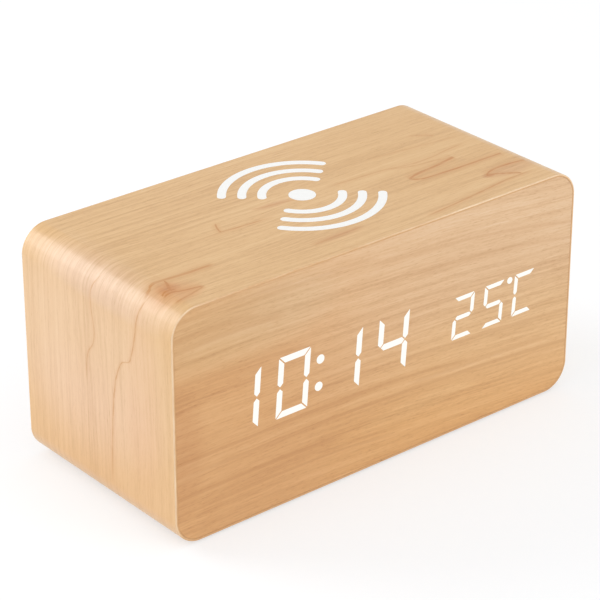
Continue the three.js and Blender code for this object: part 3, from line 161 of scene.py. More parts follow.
class Graph:
    """The node tree of one material, or of the world."""

    def __init__(self, owner: Union[bpy.types.Material, bpy.types.World]) -> None:
        """Empties the owner's tree.

        Args:
            owner: The material or the world.
        """
        owner.use_nodes = True
        self.tree = owner.node_tree
        self.tree.nodes.clear()

    @staticmethod
    def socket(sockets: Sequence[bpy.types.NodeSocket], key: Key) -> bpy.types.NodeSocket:
        """Finds a socket.

        Args:
            sockets: A node's inputs or outputs.
            key: The socket's number, identifier or name.

        Returns:
            The socket.
        """
        if isinstance(key, int):
            return sockets[key]
        named = [s for s in sockets if s.identifier == key]
        return (named or [s for s in sockets if s.name == key and s.enabled])[0]

    def node(
        self,
        kind: str,
        settings: Optional[Mapping[str, object]] = None,
        feeds: Optional[Mapping[Key, Feed]] = None,
        out: Key = 0,
    ) -> Term:
        """Adds any node.

        Args:
            kind: The node's type.
            settings: Its properties; stops are a ramp's, points are a curve's.
            feeds: Values or links for its inputs.
            out: The output to give back.

        Returns:
            The chosen output.
        """
        made = self.tree.nodes.new(kind)
        for name, value in (settings or {}).items():
            if name == "stops":
                self.set_stops(made.color_ramp.elements, value)
            elif name == "points":
                self.set_points(made.mapping, value)
            else:
                setattr(made, name, value)
        for key, feed in (feeds or {}).items():
            socket = self.socket(made.inputs, key)
            if isinstance(feed, Term):
                self.tree.links.new(feed.socket, socket)
            else:
                socket.default_value = feed
        return Term(self, self.socket(made.outputs, out)) if made.outputs else Term(self, None)

    @staticmethod
    def set_stops(
        elements: bpy.types.ColorRampElements, stops: Sequence[tuple[float, Colour]]
    ) -> None:
        """Gives a ramp its stops.

        Args:
            elements: The ramp's elements.
            stops: Place and colour of each stop, lowest first.
        """
        while len(elements) < len(stops):
            elements.new(1.0)
        for element, (position, colour) in zip(elements, stops):
            element.position = position
            element.color = colour

    @staticmethod
    def set_points(mapping: bpy.types.CurveMapping, points: Sequence[PlanePoint]) -> None:
        """Gives a curve its points.

        Args:
            mapping: The curve's mapping.
            points: Its points, from 0 to 1 both ways.
        """
        curve = mapping.curves[0].points
        while len(curve) < len(points):
            curve.new(1.0, 1.0)
        for spot, place in zip(curve, points):
            spot.location = place
            spot.handle_type = "AUTO_CLAMPED"
        mapping.update()

    def object_place(self) -> tuple[Term, Term, Term]:
        """Gives the surface's own X, Y and Z in millimetres."""
        return self.split(self.node("ShaderNodeTexCoord", out="Object"))

    def split(self, place: Term) -> tuple[Term, Term, Term]:
        """Splits a place.

        Args:
            place: The place in metres.

        Returns:
            Its X, Y and Z in millimetres.
        """
        scaled = self.node("ShaderNodeVectorMath", {"operation": "SCALE"}, {0: place, "Scale": PER_METRE})
        x = self.node("ShaderNodeSeparateXYZ", None, {0: scaled})
        return x, x.part(1), x.part(2)

    def point(self, x: Feed, y: Feed, z: Feed = 0.0) -> Term:
        """Gathers three values into a place."""
        return self.node("ShaderNodeCombineXYZ", None, {0: x, 1: y, 2: z})

    def noise(self, place: Term, detail: float = 2.0, roughness: float = 0.5) -> Term:
        """Reads noise around a half at a place, with features about one unit wide."""
        feeds = {"Vector": place, "Scale": 1.0, "Detail": detail, "Roughness": roughness}
        return self.node("ShaderNodeTexNoise", None, feeds)

    def object_noise(self, scale: Scale, detail: float = 2.0, roughness: float = 0.5) -> Term:
        """Adds noise at the surface's own place.

        Args:
            scale: Features per millimetre, for X, Y and Z together or for each.
            detail: Octaves above the first.
            roughness: Strength of those octaves.

        Returns:
            A value around a half.
        """
        scales = (scale, scale, scale) if isinstance(scale, float) else scale
        place = [axis * factor for axis, factor in zip(self.object_place(), scales)]
        return self.noise(self.point(*place), detail, roughness)

    def blend(self, share: Feed, first: Feed, second: Feed, mode: str = "MIX") -> Term:
        """Mixes two colours.

        Args:
            share: How much of the second shows.
            first: The colour underneath.
            second: The colour on top.
            mode: The blend type.

        Returns:
            The mixed colour.
        """
        settings = {"data_type": "RGBA", "blend_type": mode}
        feeds = {"Factor_Float": share, "A_Color": first, "B_Color": second}
        return self.node("ShaderNodeMix", settings, feeds, out="Result_Color")

    def ramp(self, share: Term, *tones: Tone, low: float = 0.0, high: float = 1.0) -> Term:
        """Runs a value through tones.

        Args:
            share: The value.
            tones: The tones, evenly spaced.
            low: The value at the first tone.
            high: The value at the last.

        Returns:
            The colour.
        """
        step = (high - low) / (len(tones) - 1)
        stops = [(low + i * step, linear(tone)) for i, tone in enumerate(tones)]
        return self.node("ShaderNodeValToRGB", {"stops": stops}, {0: share})

    def bump(self, height: Term, depth: float) -> Term:
        """Turns a height from 0 to 1 into a normal, for a relief of so many millimetres."""
        feeds = {"Strength": 1.0, "Distance": depth * MM, "Height": height}
        return self.node("ShaderNodeBump", None, feeds, out="Normal")

    def surface(self, feeds: Mapping[Key, Feed]) -> None:
        """Ends a material in one glossy or matt surface."""
        shader = self.node("ShaderNodeBsdfPrincipled", None, feeds)
        self.node("ShaderNodeOutputMaterial", None, {"Surface": shader})


# Finishes


@dataclass(frozen=True)
class Finish:
    """Something that a piece can be dressed in; its material is made once."""

    name: str
    made: ClassVar[dict[str, bpy.types.Material]] = {}

    def material(self) -> bpy.types.Material:
        """Makes the finish's material on first use.

        Returns:
            The material.
        """
        if self.name not in Finish.made:
            material = bpy.data.materials.new(self.name)
            self.draw(Graph(material))
            Finish.made[self.name] = material
        return Finish.made[self.name]

    def draw(self, graph: Graph) -> None:
        """Draws the finish's nodes."""
        raise NotImplementedError


class GrainLay(Enum):
    """How a veneer's grain lies on its piece."""

    WRAPPED = "round the case, by the piece's own map"
    UPRIGHT_FACE = "across a face in X and Z"


class Mark:
    """One darker feature of a veneer's figure; its width goes from its middle to its soft side's end."""

    width: float
    depth: float
    SOLID_SHARE: ClassVar[float] = 0.3
    HALO_WIDTHS: ClassVar[float] = 5.0
    HALO_DEPTH: ClassVar[float] = 0.3

    def line(self, off: Term) -> Term:
        """Draws a soft-sided line.

        Args:
            off: Distance from the line's middle.

        Returns:
            How dark it is there.
        """
        core = 1 - off.rise(self.width * self.SOLID_SHARE, self.width)
        halo = (1 - off.rise(0.0, self.width * self.HALO_WIDTHS)) * self.HALO_DEPTH
        return core.most(halo) * self.depth

    def share(self, along: Term, across: Term) -> Term:
        """Gives how much of the feature shows at a place on the veneer."""
        raise NotImplementedError


@dataclass(frozen=True)
class Stroke(Mark):
    """A line through points along and across the grain; each end fades in a share of its length."""

    points: tuple[PlanePoint, ...]
    width: float
    depth: float
    fade: float = 0.14

    def share(self, along: Term, across: Term) -> Term:
        """Gives how much of the line shows.

        Args:
            along: Place along the grain.
            across: Place across it.

        Returns:
            Its share at that place.
        """
        points = sorted(self.points)
        start, length = points[0][0], points[-1][0] - points[0][0]
        least = min(side for _, side in points)
        swing = max(side for _, side in points) - least
        curve = [((run - start) / length, (side - least) / swing) for run, side in points]
        run = (along - start) / length
        middle = run.graph.node("ShaderNodeFloatCurve", {"points": curve}, {"Value": run})
        ends = run.rise(0.0, self.fade) * (1 - run.rise(1 - self.fade, 1.0))
        return self.line(abs(across - (middle * swing + least))) * ends


@dataclass(frozen=True)
class Arch(Mark):
    """A growth line that turns back where the cut leaves its ring.

    Attributes:
        apex: Where it turns, along and across the grain.
        arms: How fast it opens below and above the apex; below zero it opens to the left.
        reach: How far it goes along the grain.
        span: How far it goes across the grain, below and above.
        turn: How round it turns; 1 is a sharp point and 2 a smooth bow.
    """

    apex: PlanePoint
    arms: PlanePoint
    reach: float
    span: PlanePoint
    width: float
    depth: float
    turn: float = 1.5
    APEX_BLEND: ClassVar[float] = 0.05
    SPAN_FADE: ClassVar[float] = 0.75
    REACH_FADE: ClassVar[float] = 0.5

    def share(self, along: Term, across: Term) -> Term:
        """Gives how much of the line shows.

        Args:
            along: Place along the grain.
            across: Place across it.

        Returns:
            Its share at that place.
        """
        run, side = along - self.apex[0], across - self.apex[1]
        above = side.rise(-self.APEX_BLEND, self.APEX_BLEND)
        opening = above.spread(*self.arms)
        slope = abs(side) ** (self.turn - 1) * opening * self.turn
        off = abs(run - abs(side) ** self.turn * opening) / (slope * slope + 1) ** 0.5
        near = 1 - (abs(side) / above.spread(*self.span)).rise(self.SPAN_FADE, 1.0)
        return self.line(off) * (near * (1 - (abs(run) / self.reach).rise(self.REACH_FADE, 1.0)))


@dataclass(frozen=True)
class TintAndPaintedLight:
    """A soft patch where the veneer's body turns to another tone, used for tints of the wood and for
    painted light and shade.
    """

    centre: PlanePoint
    radii: PlanePoint
    tone: Tone
    strength: float = 1.0

    def tint(self, along: Term, across: Term, colour: Term, body: Tone) -> Term:
        """Tints a colour.

        Args:
            along: Place along the grain.
            across: Place across it.
            colour: The veneer's colour there.
            body: The tone that the patch turns into its own.

        Returns:
            The tinted colour.
        """
        run = (along - self.centre[0]) / self.radii[0]
        side = (across - self.centre[1]) / self.radii[1]
        share = (1 - (run * run + side * side).rise(0.0, 1.0)) * self.strength
        ratio = tuple(a / b for a, b in zip(linear(self.tone), linear(body)))
        return colour.graph.blend(share, colour, ratio, "MULTIPLY")


@dataclass(frozen=True)
class Layer:
    """One layer of a veneer's grain: features per millimetre along and across it, and its noise."""

    along: float
    across: float
    seed: float
    detail: float = 2.0
    roughness: float = 0.5

    def read(self, along: Term, across: Term, seed: float) -> Term:
        """Gives the layer at a place on the veneer, around a half."""
        place = along.graph.point(along * self.along, across * self.across, seed + self.seed)
        return along.graph.noise(place, self.detail, self.roughness)


SLOW = Layer(0.013, 0.045, 0.0)
BROAD = Layer(0.009, 0.09, 5.0)
STREAK = Layer(0.009, 0.42, 9.0, roughness=0.6)
THREAD = Layer(0.024, 1.3, 21.0, detail=1.0)
FIBRE = Layer(0.14, 2.4, 13.0, 3.0, 0.65)
PORE = Layer(0.55, 3.4, 17.0, detail=1.0)


@dataclass(frozen=True)
class Veneer(Finish):
    """Satin maple veneer with growth lines, streaks, fibres and a drawn figure.

    A depth is how strongly a layer shows. The growth lines fade within ring_along and ring_across, with
    ring_least left elsewhere. The grain falls by its dip, bows by its bend, wanders off its line and is
    calmer on the case's ends.
    """

    lay: GrainLay
    dark: Tone
    body: Tone
    light: Tone
    figure: Tone
    ring_pitch: float
    ring_depth: float
    broad_depth: float
    streak_depth: float
    thread_depth: float
    fibre_depth: float
    wander: float
    seed: float
    ring_along: PlanePoint = (-25.0, 15.0)
    ring_across: PlanePoint = (-8.0, 6.0)
    ring_least: float = 0.25
    dip: float = 0.0
    bend: float = 0.0
    end_calm: float = 0.0
    marks: tuple[Mark, ...] = ()
    # Tints of the wood, and on the wrap's left end painted light and a painted highlight.
    tints_and_painted_light: tuple[TintAndPaintedLight, ...] = ()
    roughness: float = 0.3
    RING_RISE: ClassVar[PlanePoint] = (0.4, 0.9)
    RING_STREAK: ClassVar[float] = 1.6
    ENDS: ClassVar[PlanePoint] = (64.0, 84.0)
    PORE_TONE: ClassVar[float] = 0.2
    WOBBLE: ClassVar[PlanePoint] = (1.2, 0.8)
    RELIEF: ClassVar[float] = 0.012

    def lay_out(self, g: Graph) -> tuple[Term, Term]:
        """Lays the grain out on the piece.

        Args:
            g: The graph to draw in.

        Returns:
            The places along and across the grain, in millimetres.
        """
        if self.lay is GrainLay.WRAPPED:
            along, across, _ = g.split(g.node("ShaderNodeUVMap", {"uv_map": GRAIN_MAP}))
            return along, across
        along, _, across = g.object_place()
        return along, across

    def rings(self, along: Term, across: Term, drift: Term, streak: Term) -> Term:
        """Gives how much of a growth line shows.

        Args:
            along: Place along the grain.
            across: Place across it.
            drift: Place across the grain as it wanders.
            streak: The streaks' noise, which breaks the lines.

        Returns:
            The share, largest at a line.
        """
        turn = (drift / self.ring_pitch + streak * self.RING_STREAK) % 1.0
        line = turn.rise(*self.RING_RISE) * (1 - turn.rise(self.RING_RISE[1], 1.0))
        field = (1 - along.rise(*self.ring_along)) * across.rise(*self.ring_across)
        return line * (field.spread(self.ring_least, 1.0) * (streak * 2.4 - 0.4))

    def draw(self, g: Graph) -> None:
        """Draws the veneer's nodes.

        Args:
            g: The graph to draw in.
        """
        along, across = self.lay_out(g)
        slow = SLOW.read(along, across, self.seed)
        drift = across + along * (along * self.bend + self.dip) + (slow - 0.5) * self.wander
        layers = (BROAD, STREAK, THREAD, FIBRE, PORE)
        broad, streak, thread, fibre, pore = [layer.read(along, drift, self.seed) for layer in layers]
        rings = self.rings(along, across, drift, streak)
        tone = (broad - 0.5) * self.broad_depth + (streak - 0.5) * self.streak_depth
        tone = tone + (thread - 0.5) * self.thread_depth + (fibre - 0.5) * self.fibre_depth
        tone = tone - rings * self.ring_depth - pore.rise(0.52, 0.8) * self.PORE_TONE
        tone = tone * (1 - abs(along).rise(*self.ENDS) * self.end_calm)
        colour = g.ramp(tone + 0.5, self.dark, self.body, self.light)
        # Tint patches: tints of the wood, and on the wrap's left end painted light and a painted highlight.
        for tint_and_light in self.tints_and_painted_light:
            colour = tint_and_light.tint(along, across, colour, self.body)
        wobble = across + (slow - 0.5) * self.WOBBLE[0] + (fibre - 0.5) * self.WOBBLE[1]
        drawn: Feed = 0.0
        for mark in self.marks:
            drawn = mark.share(along, wobble).most(drawn)
        broken = fibre.rise(0.35, 0.62) * 0.45 + 0.72
        height = fibre * 0.5 - rings * 0.3 - pore.rise(0.56, 0.75) * 0.5
        g.surface({
            "Base Color": g.blend(broken * drawn, colour, linear(self.figure)),
            "Roughness": (fibre - 0.5) * 0.12 + self.roughness,
            "Normal": g.bump(height, self.RELIEF),
        })


@dataclass(frozen=True)
class VeneerEdge(Finish):
    """The cut edge of a veneer: a pale face ply on a backing in the face's own tone.

    Attributes:
        half: Half of the case's width and height, from its middle.
        ply: Thickness of the face ply, which runs into the backing over ply_blend.
        painted_contact_shade: Heights between which the face ply gives way to the darker backing at the
            bottom, as painted shade where the case meets the floor.
    """

    body: Tone
    dark: Tone
    backing: Tone
    half: PlanePoint = (75.0, 36.2)
    middle: float = 36.8
    corner: float = 8.5
    ply: float = 0.34
    ply_blend: float = 0.12
    # Painted shade: the bottom of the edge shows the darker backing, where the case meets the floor.
    painted_contact_shade: PlanePoint = (1.5, 7.0)
    # Where the edge darkens along the left part of the top: up with height, and between left and right.
    darkening_rise: PlanePoint = (60.0, 69.0)
    darkening_left: PlanePoint = (-72.0, -60.0)
    darkening_right: PlanePoint = (-30.0, 40.0)

    def under(self, x: Term, z: Term) -> Term:
        """Measures how deep a place lies under the case's outside.

        Args:
            x: Place across the case.
            z: Height.

        Returns:
            The depth in millimetres.
        """
        across = (abs(x) - (self.half[0] - self.corner)).most(0.0)
        up = (abs(z - self.middle) - (self.half[1] - self.corner)).most(0.0)
        return self.corner - (across * across + up * up) ** 0.5

    def draw(self, g: Graph) -> None:
        """Draws the edge's nodes; the edge is darker along the left part of the top.

        Args:
            g: The graph to draw in.
        """
        x, _, z = g.object_place()
        layer = g.object_noise((0.35, 6.0, 0.35))
        mottle = g.object_noise((0.12, 0.4, 0.12))
        # Darker along the left part of the top edge.
        darker_top_left = z.rise(*self.darkening_rise) * (1 - x.rise(*self.darkening_right)) * x.rise(*self.darkening_left)
        share = (layer - 0.5) * 0.8 + (mottle - 0.5) * 0.9 + 0.3 + darker_top_left * 0.6
        depth = self.under(x, z).rise(self.ply, self.ply + self.ply_blend)
        # The backing shows under the face ply, and along the bottom as painted shade where the case meets
        # the floor.
        inner = depth.most(1 - z.rise(*self.painted_contact_shade))
        backing = g.ramp(layer, self.dark, self.backing, low=0.2, high=0.7)
        g.surface({
            "Base Color": g.blend(inner, g.ramp(share, self.body, self.dark), backing),
            "Roughness": layer * 0.2 + 0.42,
            "Specular IOR Level": 0.4,
            "Normal": g.bump(layer, 0.01),
        })


@dataclass(frozen=True)
class CoreBoard(Finish):
    """Pressed fibreboard under the veneer: short fibres and denser specks."""

    body: Tone
    dark: Tone
    light: Tone

    def draw(self, g: Graph) -> None:
        """Draws the board's nodes.

        Args:
            g: The graph to draw in.
        """
        fibre = g.object_noise((1.1, 3.0, 3.0), 3.0, 0.65)
        mottle = g.object_noise(0.15)
        speck = g.object_noise(4.0, 1.0).rise(0.64, 0.74)
        share = (fibre - 0.5) * 1.2 + (mottle - 0.5) * 0.7 + 0.5 - speck * 0.3
        g.surface({
            "Base Color": g.ramp(share, self.dark, self.body, self.light),
            "Roughness": fibre * 0.2 + 0.7,
            "Normal": g.bump(fibre, 0.05),
        })


@dataclass(frozen=True)
class Moulded(Finish):
    """Plastic, rubber, film or sintered stuff with a fine even texture.

    Attributes:
        worn: The colour of its high spots.
        grain: Width of the texture's bumps, and relief their depth, in millimetres.
        roughness: Least and greatest roughness.
    """

    body: Tone
    worn: Tone
    grain: float
    relief: float
    roughness: PlanePoint

    def draw(self, g: Graph) -> None:
        """Draws the texture's nodes.

        Args:
            g: The graph to draw in.
        """
        fine = g.object_noise(1 / self.grain, 2.0, 0.6)
        cloud = g.object_noise(0.18)
        share = fine.rise(0.35, 0.75) * 0.6 + (cloud - 0.3) * 0.5
        g.surface({
            "Base Color": g.ramp(share, self.body, self.worn),
            "Roughness": fine.spread(*self.roughness),
            "Normal": g.bump(fine, self.relief),
        })


@dataclass(frozen=True)
class Plated(Finish):
    """Bright metal with drawn lines, so many per millimetre along X, Y and Z."""

    body: Tone
    dull: Tone
    lines: tuple[float, float, float]
    roughness: PlanePoint

    def draw(self, g: Graph) -> None:
        """Draws the metal's nodes.

        Args:
            g: The graph to draw in.
        """
        drawn = g.object_noise(self.lines, 3.0, 0.6)
        stain = g.object_noise(0.9, 3.0)
        g.surface({
            "Base Color": g.ramp(stain.rise(0.45, 0.75), self.body, self.dull),
            "Metallic": 1.0,
            "Roughness": drawn.spread(*self.roughness),
            "Normal": g.bump(drawn, 0.006),
        })


@dataclass(frozen=True)
class SolderMask(Finish):
    """Circuit board: lacquer over copper runs that show as a paler green."""

    mask: Tone
    run: Tone
    pitch: float = 2.0

    def draw(self, g: Graph) -> None:
        """Draws the board's nodes.

        Args:
            g: The graph to draw in.
        """
        x, y, z = g.object_place()
        step = g.object_noise(0.12, 0.0)
        lane = ((x + y + z) / self.pitch + step * 6.0) % 1.0
        run = lane.rise(0.3, 0.36) * (1 - lane.rise(0.6, 0.66))
        cloud = g.object_noise(0.4)
        g.surface({
            "Base Color": g.ramp(run * 0.7 + (cloud - 0.5) * 0.5, self.mask, self.run),
            "Roughness": cloud * 0.2 + 0.28,
            "Normal": g.bump(run, 0.03),
        })


@dataclass(frozen=True)
class LitWindow(Finish):
    """White light that comes through the veneer, shaded by its fibres."""

    body: Tone
    shade: Tone
    unlit: Tone
    strength: float

    def draw(self, g: Graph) -> None:
        """Draws the light's nodes.

        Args:
            g: The graph to draw in.
        """
        x, _, z = g.object_place()
        fibre = g.noise(g.point(x * 0.2, z * 2.4), 2.0)
        g.surface({
            "Base Color": linear(self.unlit),
            "Roughness": fibre * 0.2 + 0.4,
            "Emission Color": g.ramp(fibre.rise(0.5, 0.9), self.body, self.shade),
            "Emission Strength": self.strength,
        })


@dataclass(frozen=True)
class Print(Finish):
    """Opaque screen print with the veneer's pores just showing in it."""

    body: Tone
    shade: Tone

    def draw(self, g: Graph) -> None:
        """Draws the print's nodes.

        Args:
            g: The graph to draw in.
        """
        pore = g.object_noise((0.5, 6.0, 6.0))
        g.surface({
            "Base Color": g.ramp(pore.rise(0.55, 0.9), self.body, self.shade),
            "Roughness": pore * 0.2 + 0.42,
            "Normal": g.bump(pore, 0.006),
        })


WRAP_MARKS = (
    Stroke(((-71, -1), (-80.7, 1.7), (-90.7, 0.6), (-98.8, 4.2), (-108, 5.5)), 0.3, 0.45),
    Stroke(((-66, -21.5), (-78, -19.5), (-89.7, -16.9), (-93.2, -15.4), (-94.9, -11.9),
            (-104.7, -8.1), (-120, -6.3), (-138, -5.4)), 0.3, 0.6),
    Arch((-33.2, -2.7), (9, 0.19), 20, (3, 5.6), 0.4, 0.7),
    Stroke(((-74, -20.2), (-69.8, -18.5), (-66.4, -16.9), (-61.9, -17.3), (-46, -17.9)), 0.9, 0.7),
    Stroke(((-66.4, -23.6), (-65.4, -21.4), (-64.6, -19.6), (-63.8, -17.2)), 1.8, 0.8, 0.05),
    Stroke(((-69.8, -24), (-67.1, -23), (-64.6, -23.9)), 0.6, 0.9),
    Stroke(((-70.4, -25.3), (-67.3, -24.4), (-64.5, -25.3), (-57, -26.9)), 0.6, 0.85),
    Stroke(((-70, -29.9), (-64.5, -28.9), (-57, -26.9)), 0.55, 0.65),
    Stroke(((-20, -26.1), (-10, -25.6), (1, -25)), 0.6, 0.4),
    Stroke(((31.4, -9.3), (33.4, -10.9), (36.5, -12), (44, -12.4), (66, -12.8)), 0.6, 0.85, 0.02),
    Stroke(((31.6, -9.6), (36, -8.2), (43.5, -7.4), (53, -5.8)), 0.8, 0.8, 0.03),
    Stroke(((30, 0.4), (39.9, -3.3), (44.9, -4), (54, -6.2)), 0.4, 0.45),
    Stroke(((50.6, -22.7), (52.6, -20.9), (55, -20.1), (59, -19.8), (68, -20.8)), 0.6, 0.85, 0.04),
    Stroke(((50.6, -22.1), (53.6, -22.8), (56.4, -24.4), (60.5, -27.2)), 0.7, 0.8, 0.06),
    Stroke(((16, -32.2), (35.2, -30.3), (48.1, -28.6), (55, -27.8), (66, -27.7)), 0.5, 0.65),
    Arch((58.8, 10.2), (-1.3, -0.6), 8, (0.4, 5.4), 0.4, 0.5),
    Stroke(((30, 9.5), (46, 7.4), (66, 5.2)), 0.3, 0.35),
    Stroke(((8, 1.6), (30, 0.2), (44, -1.9), (54, -0.8), (65, 0.3)), 0.4, 0.45),
    Stroke(((-18, 3.3), (-9, 1.8), (-1, 0.2)), 0.45, 0.4),
    Stroke(((96, 12), (108, 8.4), (122, 7.2), (140, 4)), 0.3, 0.45),
    Stroke(((74, -14), (92, -16.4), (104, -21), (140, -22.5)), 0.3, 0.45),
)
WRAP_TINTS_AND_PAINTED_LIGHT = (
    # Painted light: the upper left end and its rounding made paler, where the key lamp lights them.
    TintAndPaintedLight((-98, 6), (38, 54), (231, 193, 151)),
    # Painted highlight: a pale band along the top-left rounding.
    TintAndPaintedLight((-74, -6), (8.5, 46), (226, 187, 143), 0.9),
    TintAndPaintedLight((-104, -21.5), (32, 10.5), (224, 176, 122), 0.5),
    # Painted light: the lower left end made paler, where the lamps light it less.
    TintAndPaintedLight((-134, 0), (42, 60), (228, 184, 134), 0.8),
    TintAndPaintedLight((-66, -25), (10, 7.5), (216, 156, 98), 0.65),
    TintAndPaintedLight((-66, -21.6), (4.4, 4.6), (210, 146, 84), 0.55),
    TintAndPaintedLight((-9, -25.6), (11, 1.8), (206, 152, 100), 0.5),
    TintAndPaintedLight((60, -23), (11, 4.5), (212, 162, 114), 0.5),
    TintAndPaintedLight((51.2, -22.4), (2.6, 1.7), (200, 138, 80), 0.7),
    TintAndPaintedLight((58, 8), (60, 48), (221, 176, 117)),
    TintAndPaintedLight((-10, 2), (8, 1.8), (208, 154, 104), 0.5),
)
FACE_MARKS = (
    Stroke(((-62, 67.8), (-30, 68.4), (0, 67.6)), 0.7, 0.22),
    Stroke(((-90, 63.4), (-62, 64.2), (-42, 63)), 1.4, 0.22),
    Stroke(((-95, 50.4), (-60, 50.2), (-25, 48.6)), 1, 0.30),
    Stroke(((-95, 47.4), (-55, 47), (-30, 45.8)), 0.7, 0.20),
    Stroke(((-95, 27), (-20, 26.8), (45, 22)), 0.9, 0.36),
    Stroke(((-80, 22.6), (0, 21.4), (100, 14)), 1, 0.32),
    Stroke(((-95, 15.6), (-50, 15.8), (-10, 14)), 1.1, 0.34),
    Stroke(((-95, 10.4), (-45, 11.2), (10, 8.4)), 0.8, 0.3),
    Stroke(((-10, 66), (35, 62.4), (95, 52)), 0.8, 0.21),
    Stroke(((5, 58.6), (45, 55.4), (95, 47)), 0.7, 0.20),
    Stroke(((20, 31), (55, 28.6), (95, 24)), 0.9, 0.20),
    Stroke(((-80, 60), (-58, 61.4), (-34, 60.6)), 1.5, 0.26),
    Stroke(((-80, 68.8), (-52, 69.8), (-30, 69.4)), 1.1, 0.22),
    Stroke(((6, 23), (36, 22), (70, 20.2)), 1.6, 0.26),
)
FACE_BLUSHES = (
    TintAndPaintedLight((80, 75), (150, 78), (225, 186, 143)),
    TintAndPaintedLight((-54, 63), (44, 15), (217, 175, 124), 0.8),
    TintAndPaintedLight((50, 10), (90, 42), (223, 171, 110), 0.9),
    TintAndPaintedLight((-74, 30), (12, 24), (204, 148, 95), 0.7),
    TintAndPaintedLight((14, 14.6), (28, 3.6), (226, 178, 124), 0.6),
)

MAPLE_WRAP = Veneer(
    name="maple_wrap", lay=GrainLay.WRAPPED,
    dark=(198, 149, 92), body=(225, 182, 126), light=(237, 200, 149), figure=(196, 126, 52),
    ring_pitch=2.5, ring_depth=0.17, broad_depth=0.42, streak_depth=0.58, thread_depth=0.42,
    fibre_depth=0.8, wander=5.0, seed=3.7, ring_least=0.1, end_calm=0.42,
    marks=WRAP_MARKS, tints_and_painted_light=WRAP_TINTS_AND_PAINTED_LIGHT,
)
MAPLE_FACE = Veneer(
    name="maple_face", lay=GrainLay.UPRIGHT_FACE,
    dark=(188, 131, 78), body=(218, 166, 111), light=(233, 187, 136), figure=(186, 128, 74),
    ring_pitch=3.9, ring_depth=0.08, broad_depth=0.42, streak_depth=0.6, thread_depth=0.36,
    fibre_depth=0.6, wander=4.0, seed=21.3, ring_along=(160.0, 190.0), ring_across=(-10.0, 0.0),
    dip=0.045, bend=0.0004, marks=FACE_MARKS, tints_and_painted_light=FACE_BLUSHES,
)
MAPLE_REAR = replace(MAPLE_FACE, name="maple_rear", seed=40.9, dip=-0.02, bend=-0.0002, marks=(),
                     tints_and_painted_light=(TintAndPaintedLight((60.0, 60.0), (110.0, 70.0), (224, 183, 139)),))
EDGE = VeneerEdge("veneer_edge", (248, 220, 184), (222, 178, 130), (214, 166, 116))
CORE = CoreBoard("fibreboard", (168, 127, 84), (128, 92, 56), (198, 160, 116))
BLACK_MOULDED = Moulded("black_moulded", (22, 22, 23), (44, 44, 45), 0.16, 0.03, (0.45, 0.62))
KEY_MOULDED = Moulded("key_moulded", (26, 26, 27), (46, 46, 48), 0.1, 0.012, (0.3, 0.46))
WHITE_MOULDED = Moulded("white_moulded", (228, 228, 222), (242, 242, 238), 0.2, 0.02, (0.4, 0.55))
MILKY_SHEET = Moulded("milky_sheet", (236, 235, 228), (248, 247, 242), 0.3, 0.006, (0.25, 0.4))
FOOT_RUBBER = Moulded("foot_rubber", (34, 34, 35), (58, 57, 56), 0.25, 0.04, (0.72, 0.9))
FERRITE = Moulded("ferrite", (42, 41, 43), (70, 68, 70), 0.12, 0.02, (0.6, 0.85))
AMBER_FILM = Moulded("amber_film", (164, 100, 32), (196, 134, 56), 1.6, 0.01, (0.18, 0.34))
RIBBON_SLEEVE = Moulded("ribbon_sleeve", (140, 143, 148), (164, 167, 171), 0.5, 0.01, (0.45, 0.6))
RED_SLEEVE = Moulded("red_sleeve", (150, 26, 22), (178, 44, 38), 0.3, 0.008, (0.38, 0.52))
BLACK_SLEEVE = Moulded("black_sleeve", (20, 20, 21), (40, 40, 41), 0.3, 0.008, (0.38, 0.52))
ZINC_STEEL = Plated("zinc_steel", (186, 189, 194), (150, 150, 150), (2.0, 9.0, 2.0), (0.24, 0.42))
NICKEL_STEEL = Plated("nickel_steel", (202, 203, 204), (168, 165, 160), (9.0, 0.8, 9.0), (0.18, 0.36))
GOLD_CONTACT = Plated("gold_contact", (222, 178, 96), (196, 150, 74), (9.0, 0.8, 9.0), (0.2, 0.34))
COPPER_WIRE = Plated("copper_wire", (198, 112, 66), (160, 82, 44), (3.0, 3.0, 3.0), (0.22, 0.4))
CIRCUIT = SolderMask("solder_mask", (24, 84, 48), (52, 122, 70))
LIT_WINDOW = LitWindow("lit_window", (255, 254, 247), (250, 246, 235), (120, 120, 118), 0.8)
WHITE_PRINT = Print("white_print", (252, 252, 250), (240, 236, 230))

SLOT_FINISHES: Mapping[str, Finish] = {
    "core_wood": CORE,
    "wrap_veneer": MAPLE_WRAP,
    "face_veneer": MAPLE_FACE,
    "foot_rubber": FOOT_RUBBER,
    "milky_sheet": MILKY_SHEET,
    "white_plastic": WHITE_MOULDED,
    "circuit_board": CIRCUIT,
    "screw_steel": ZINC_STEEL,
    "plated_steel": NICKEL_STEEL,
    "black_plastic": BLACK_MOULDED,
    "button_plastic": KEY_MOULDED,
    "coil_copper": COPPER_WIRE,
    "ferrite": FERRITE,
    "amber_tape": AMBER_FILM,
    "ribbon_grey": RIBBON_SLEEVE,
    "red_insulation": RED_SLEEVE,
    "black_insulation": BLACK_SLEEVE,
}


# Modelling


@dataclass(frozen=True)
class Box:
    """A node's lowest and highest corners, in millimetres."""

    low: Vector
    high: Vector

    @property
    def size(self) -> Vector:
        """Gives its width, depth and height."""
        return self.high - self.low

    @property
    def middle(self) -> Vector:
        """Gives its middle."""
        return (self.low + self.high) / 2


def box_mm(node: str) -> Box:
    """Gives a node's box in millimetres."""
    low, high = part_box(node)
    return Box(low * PER_METRE, high * PER_METRE)


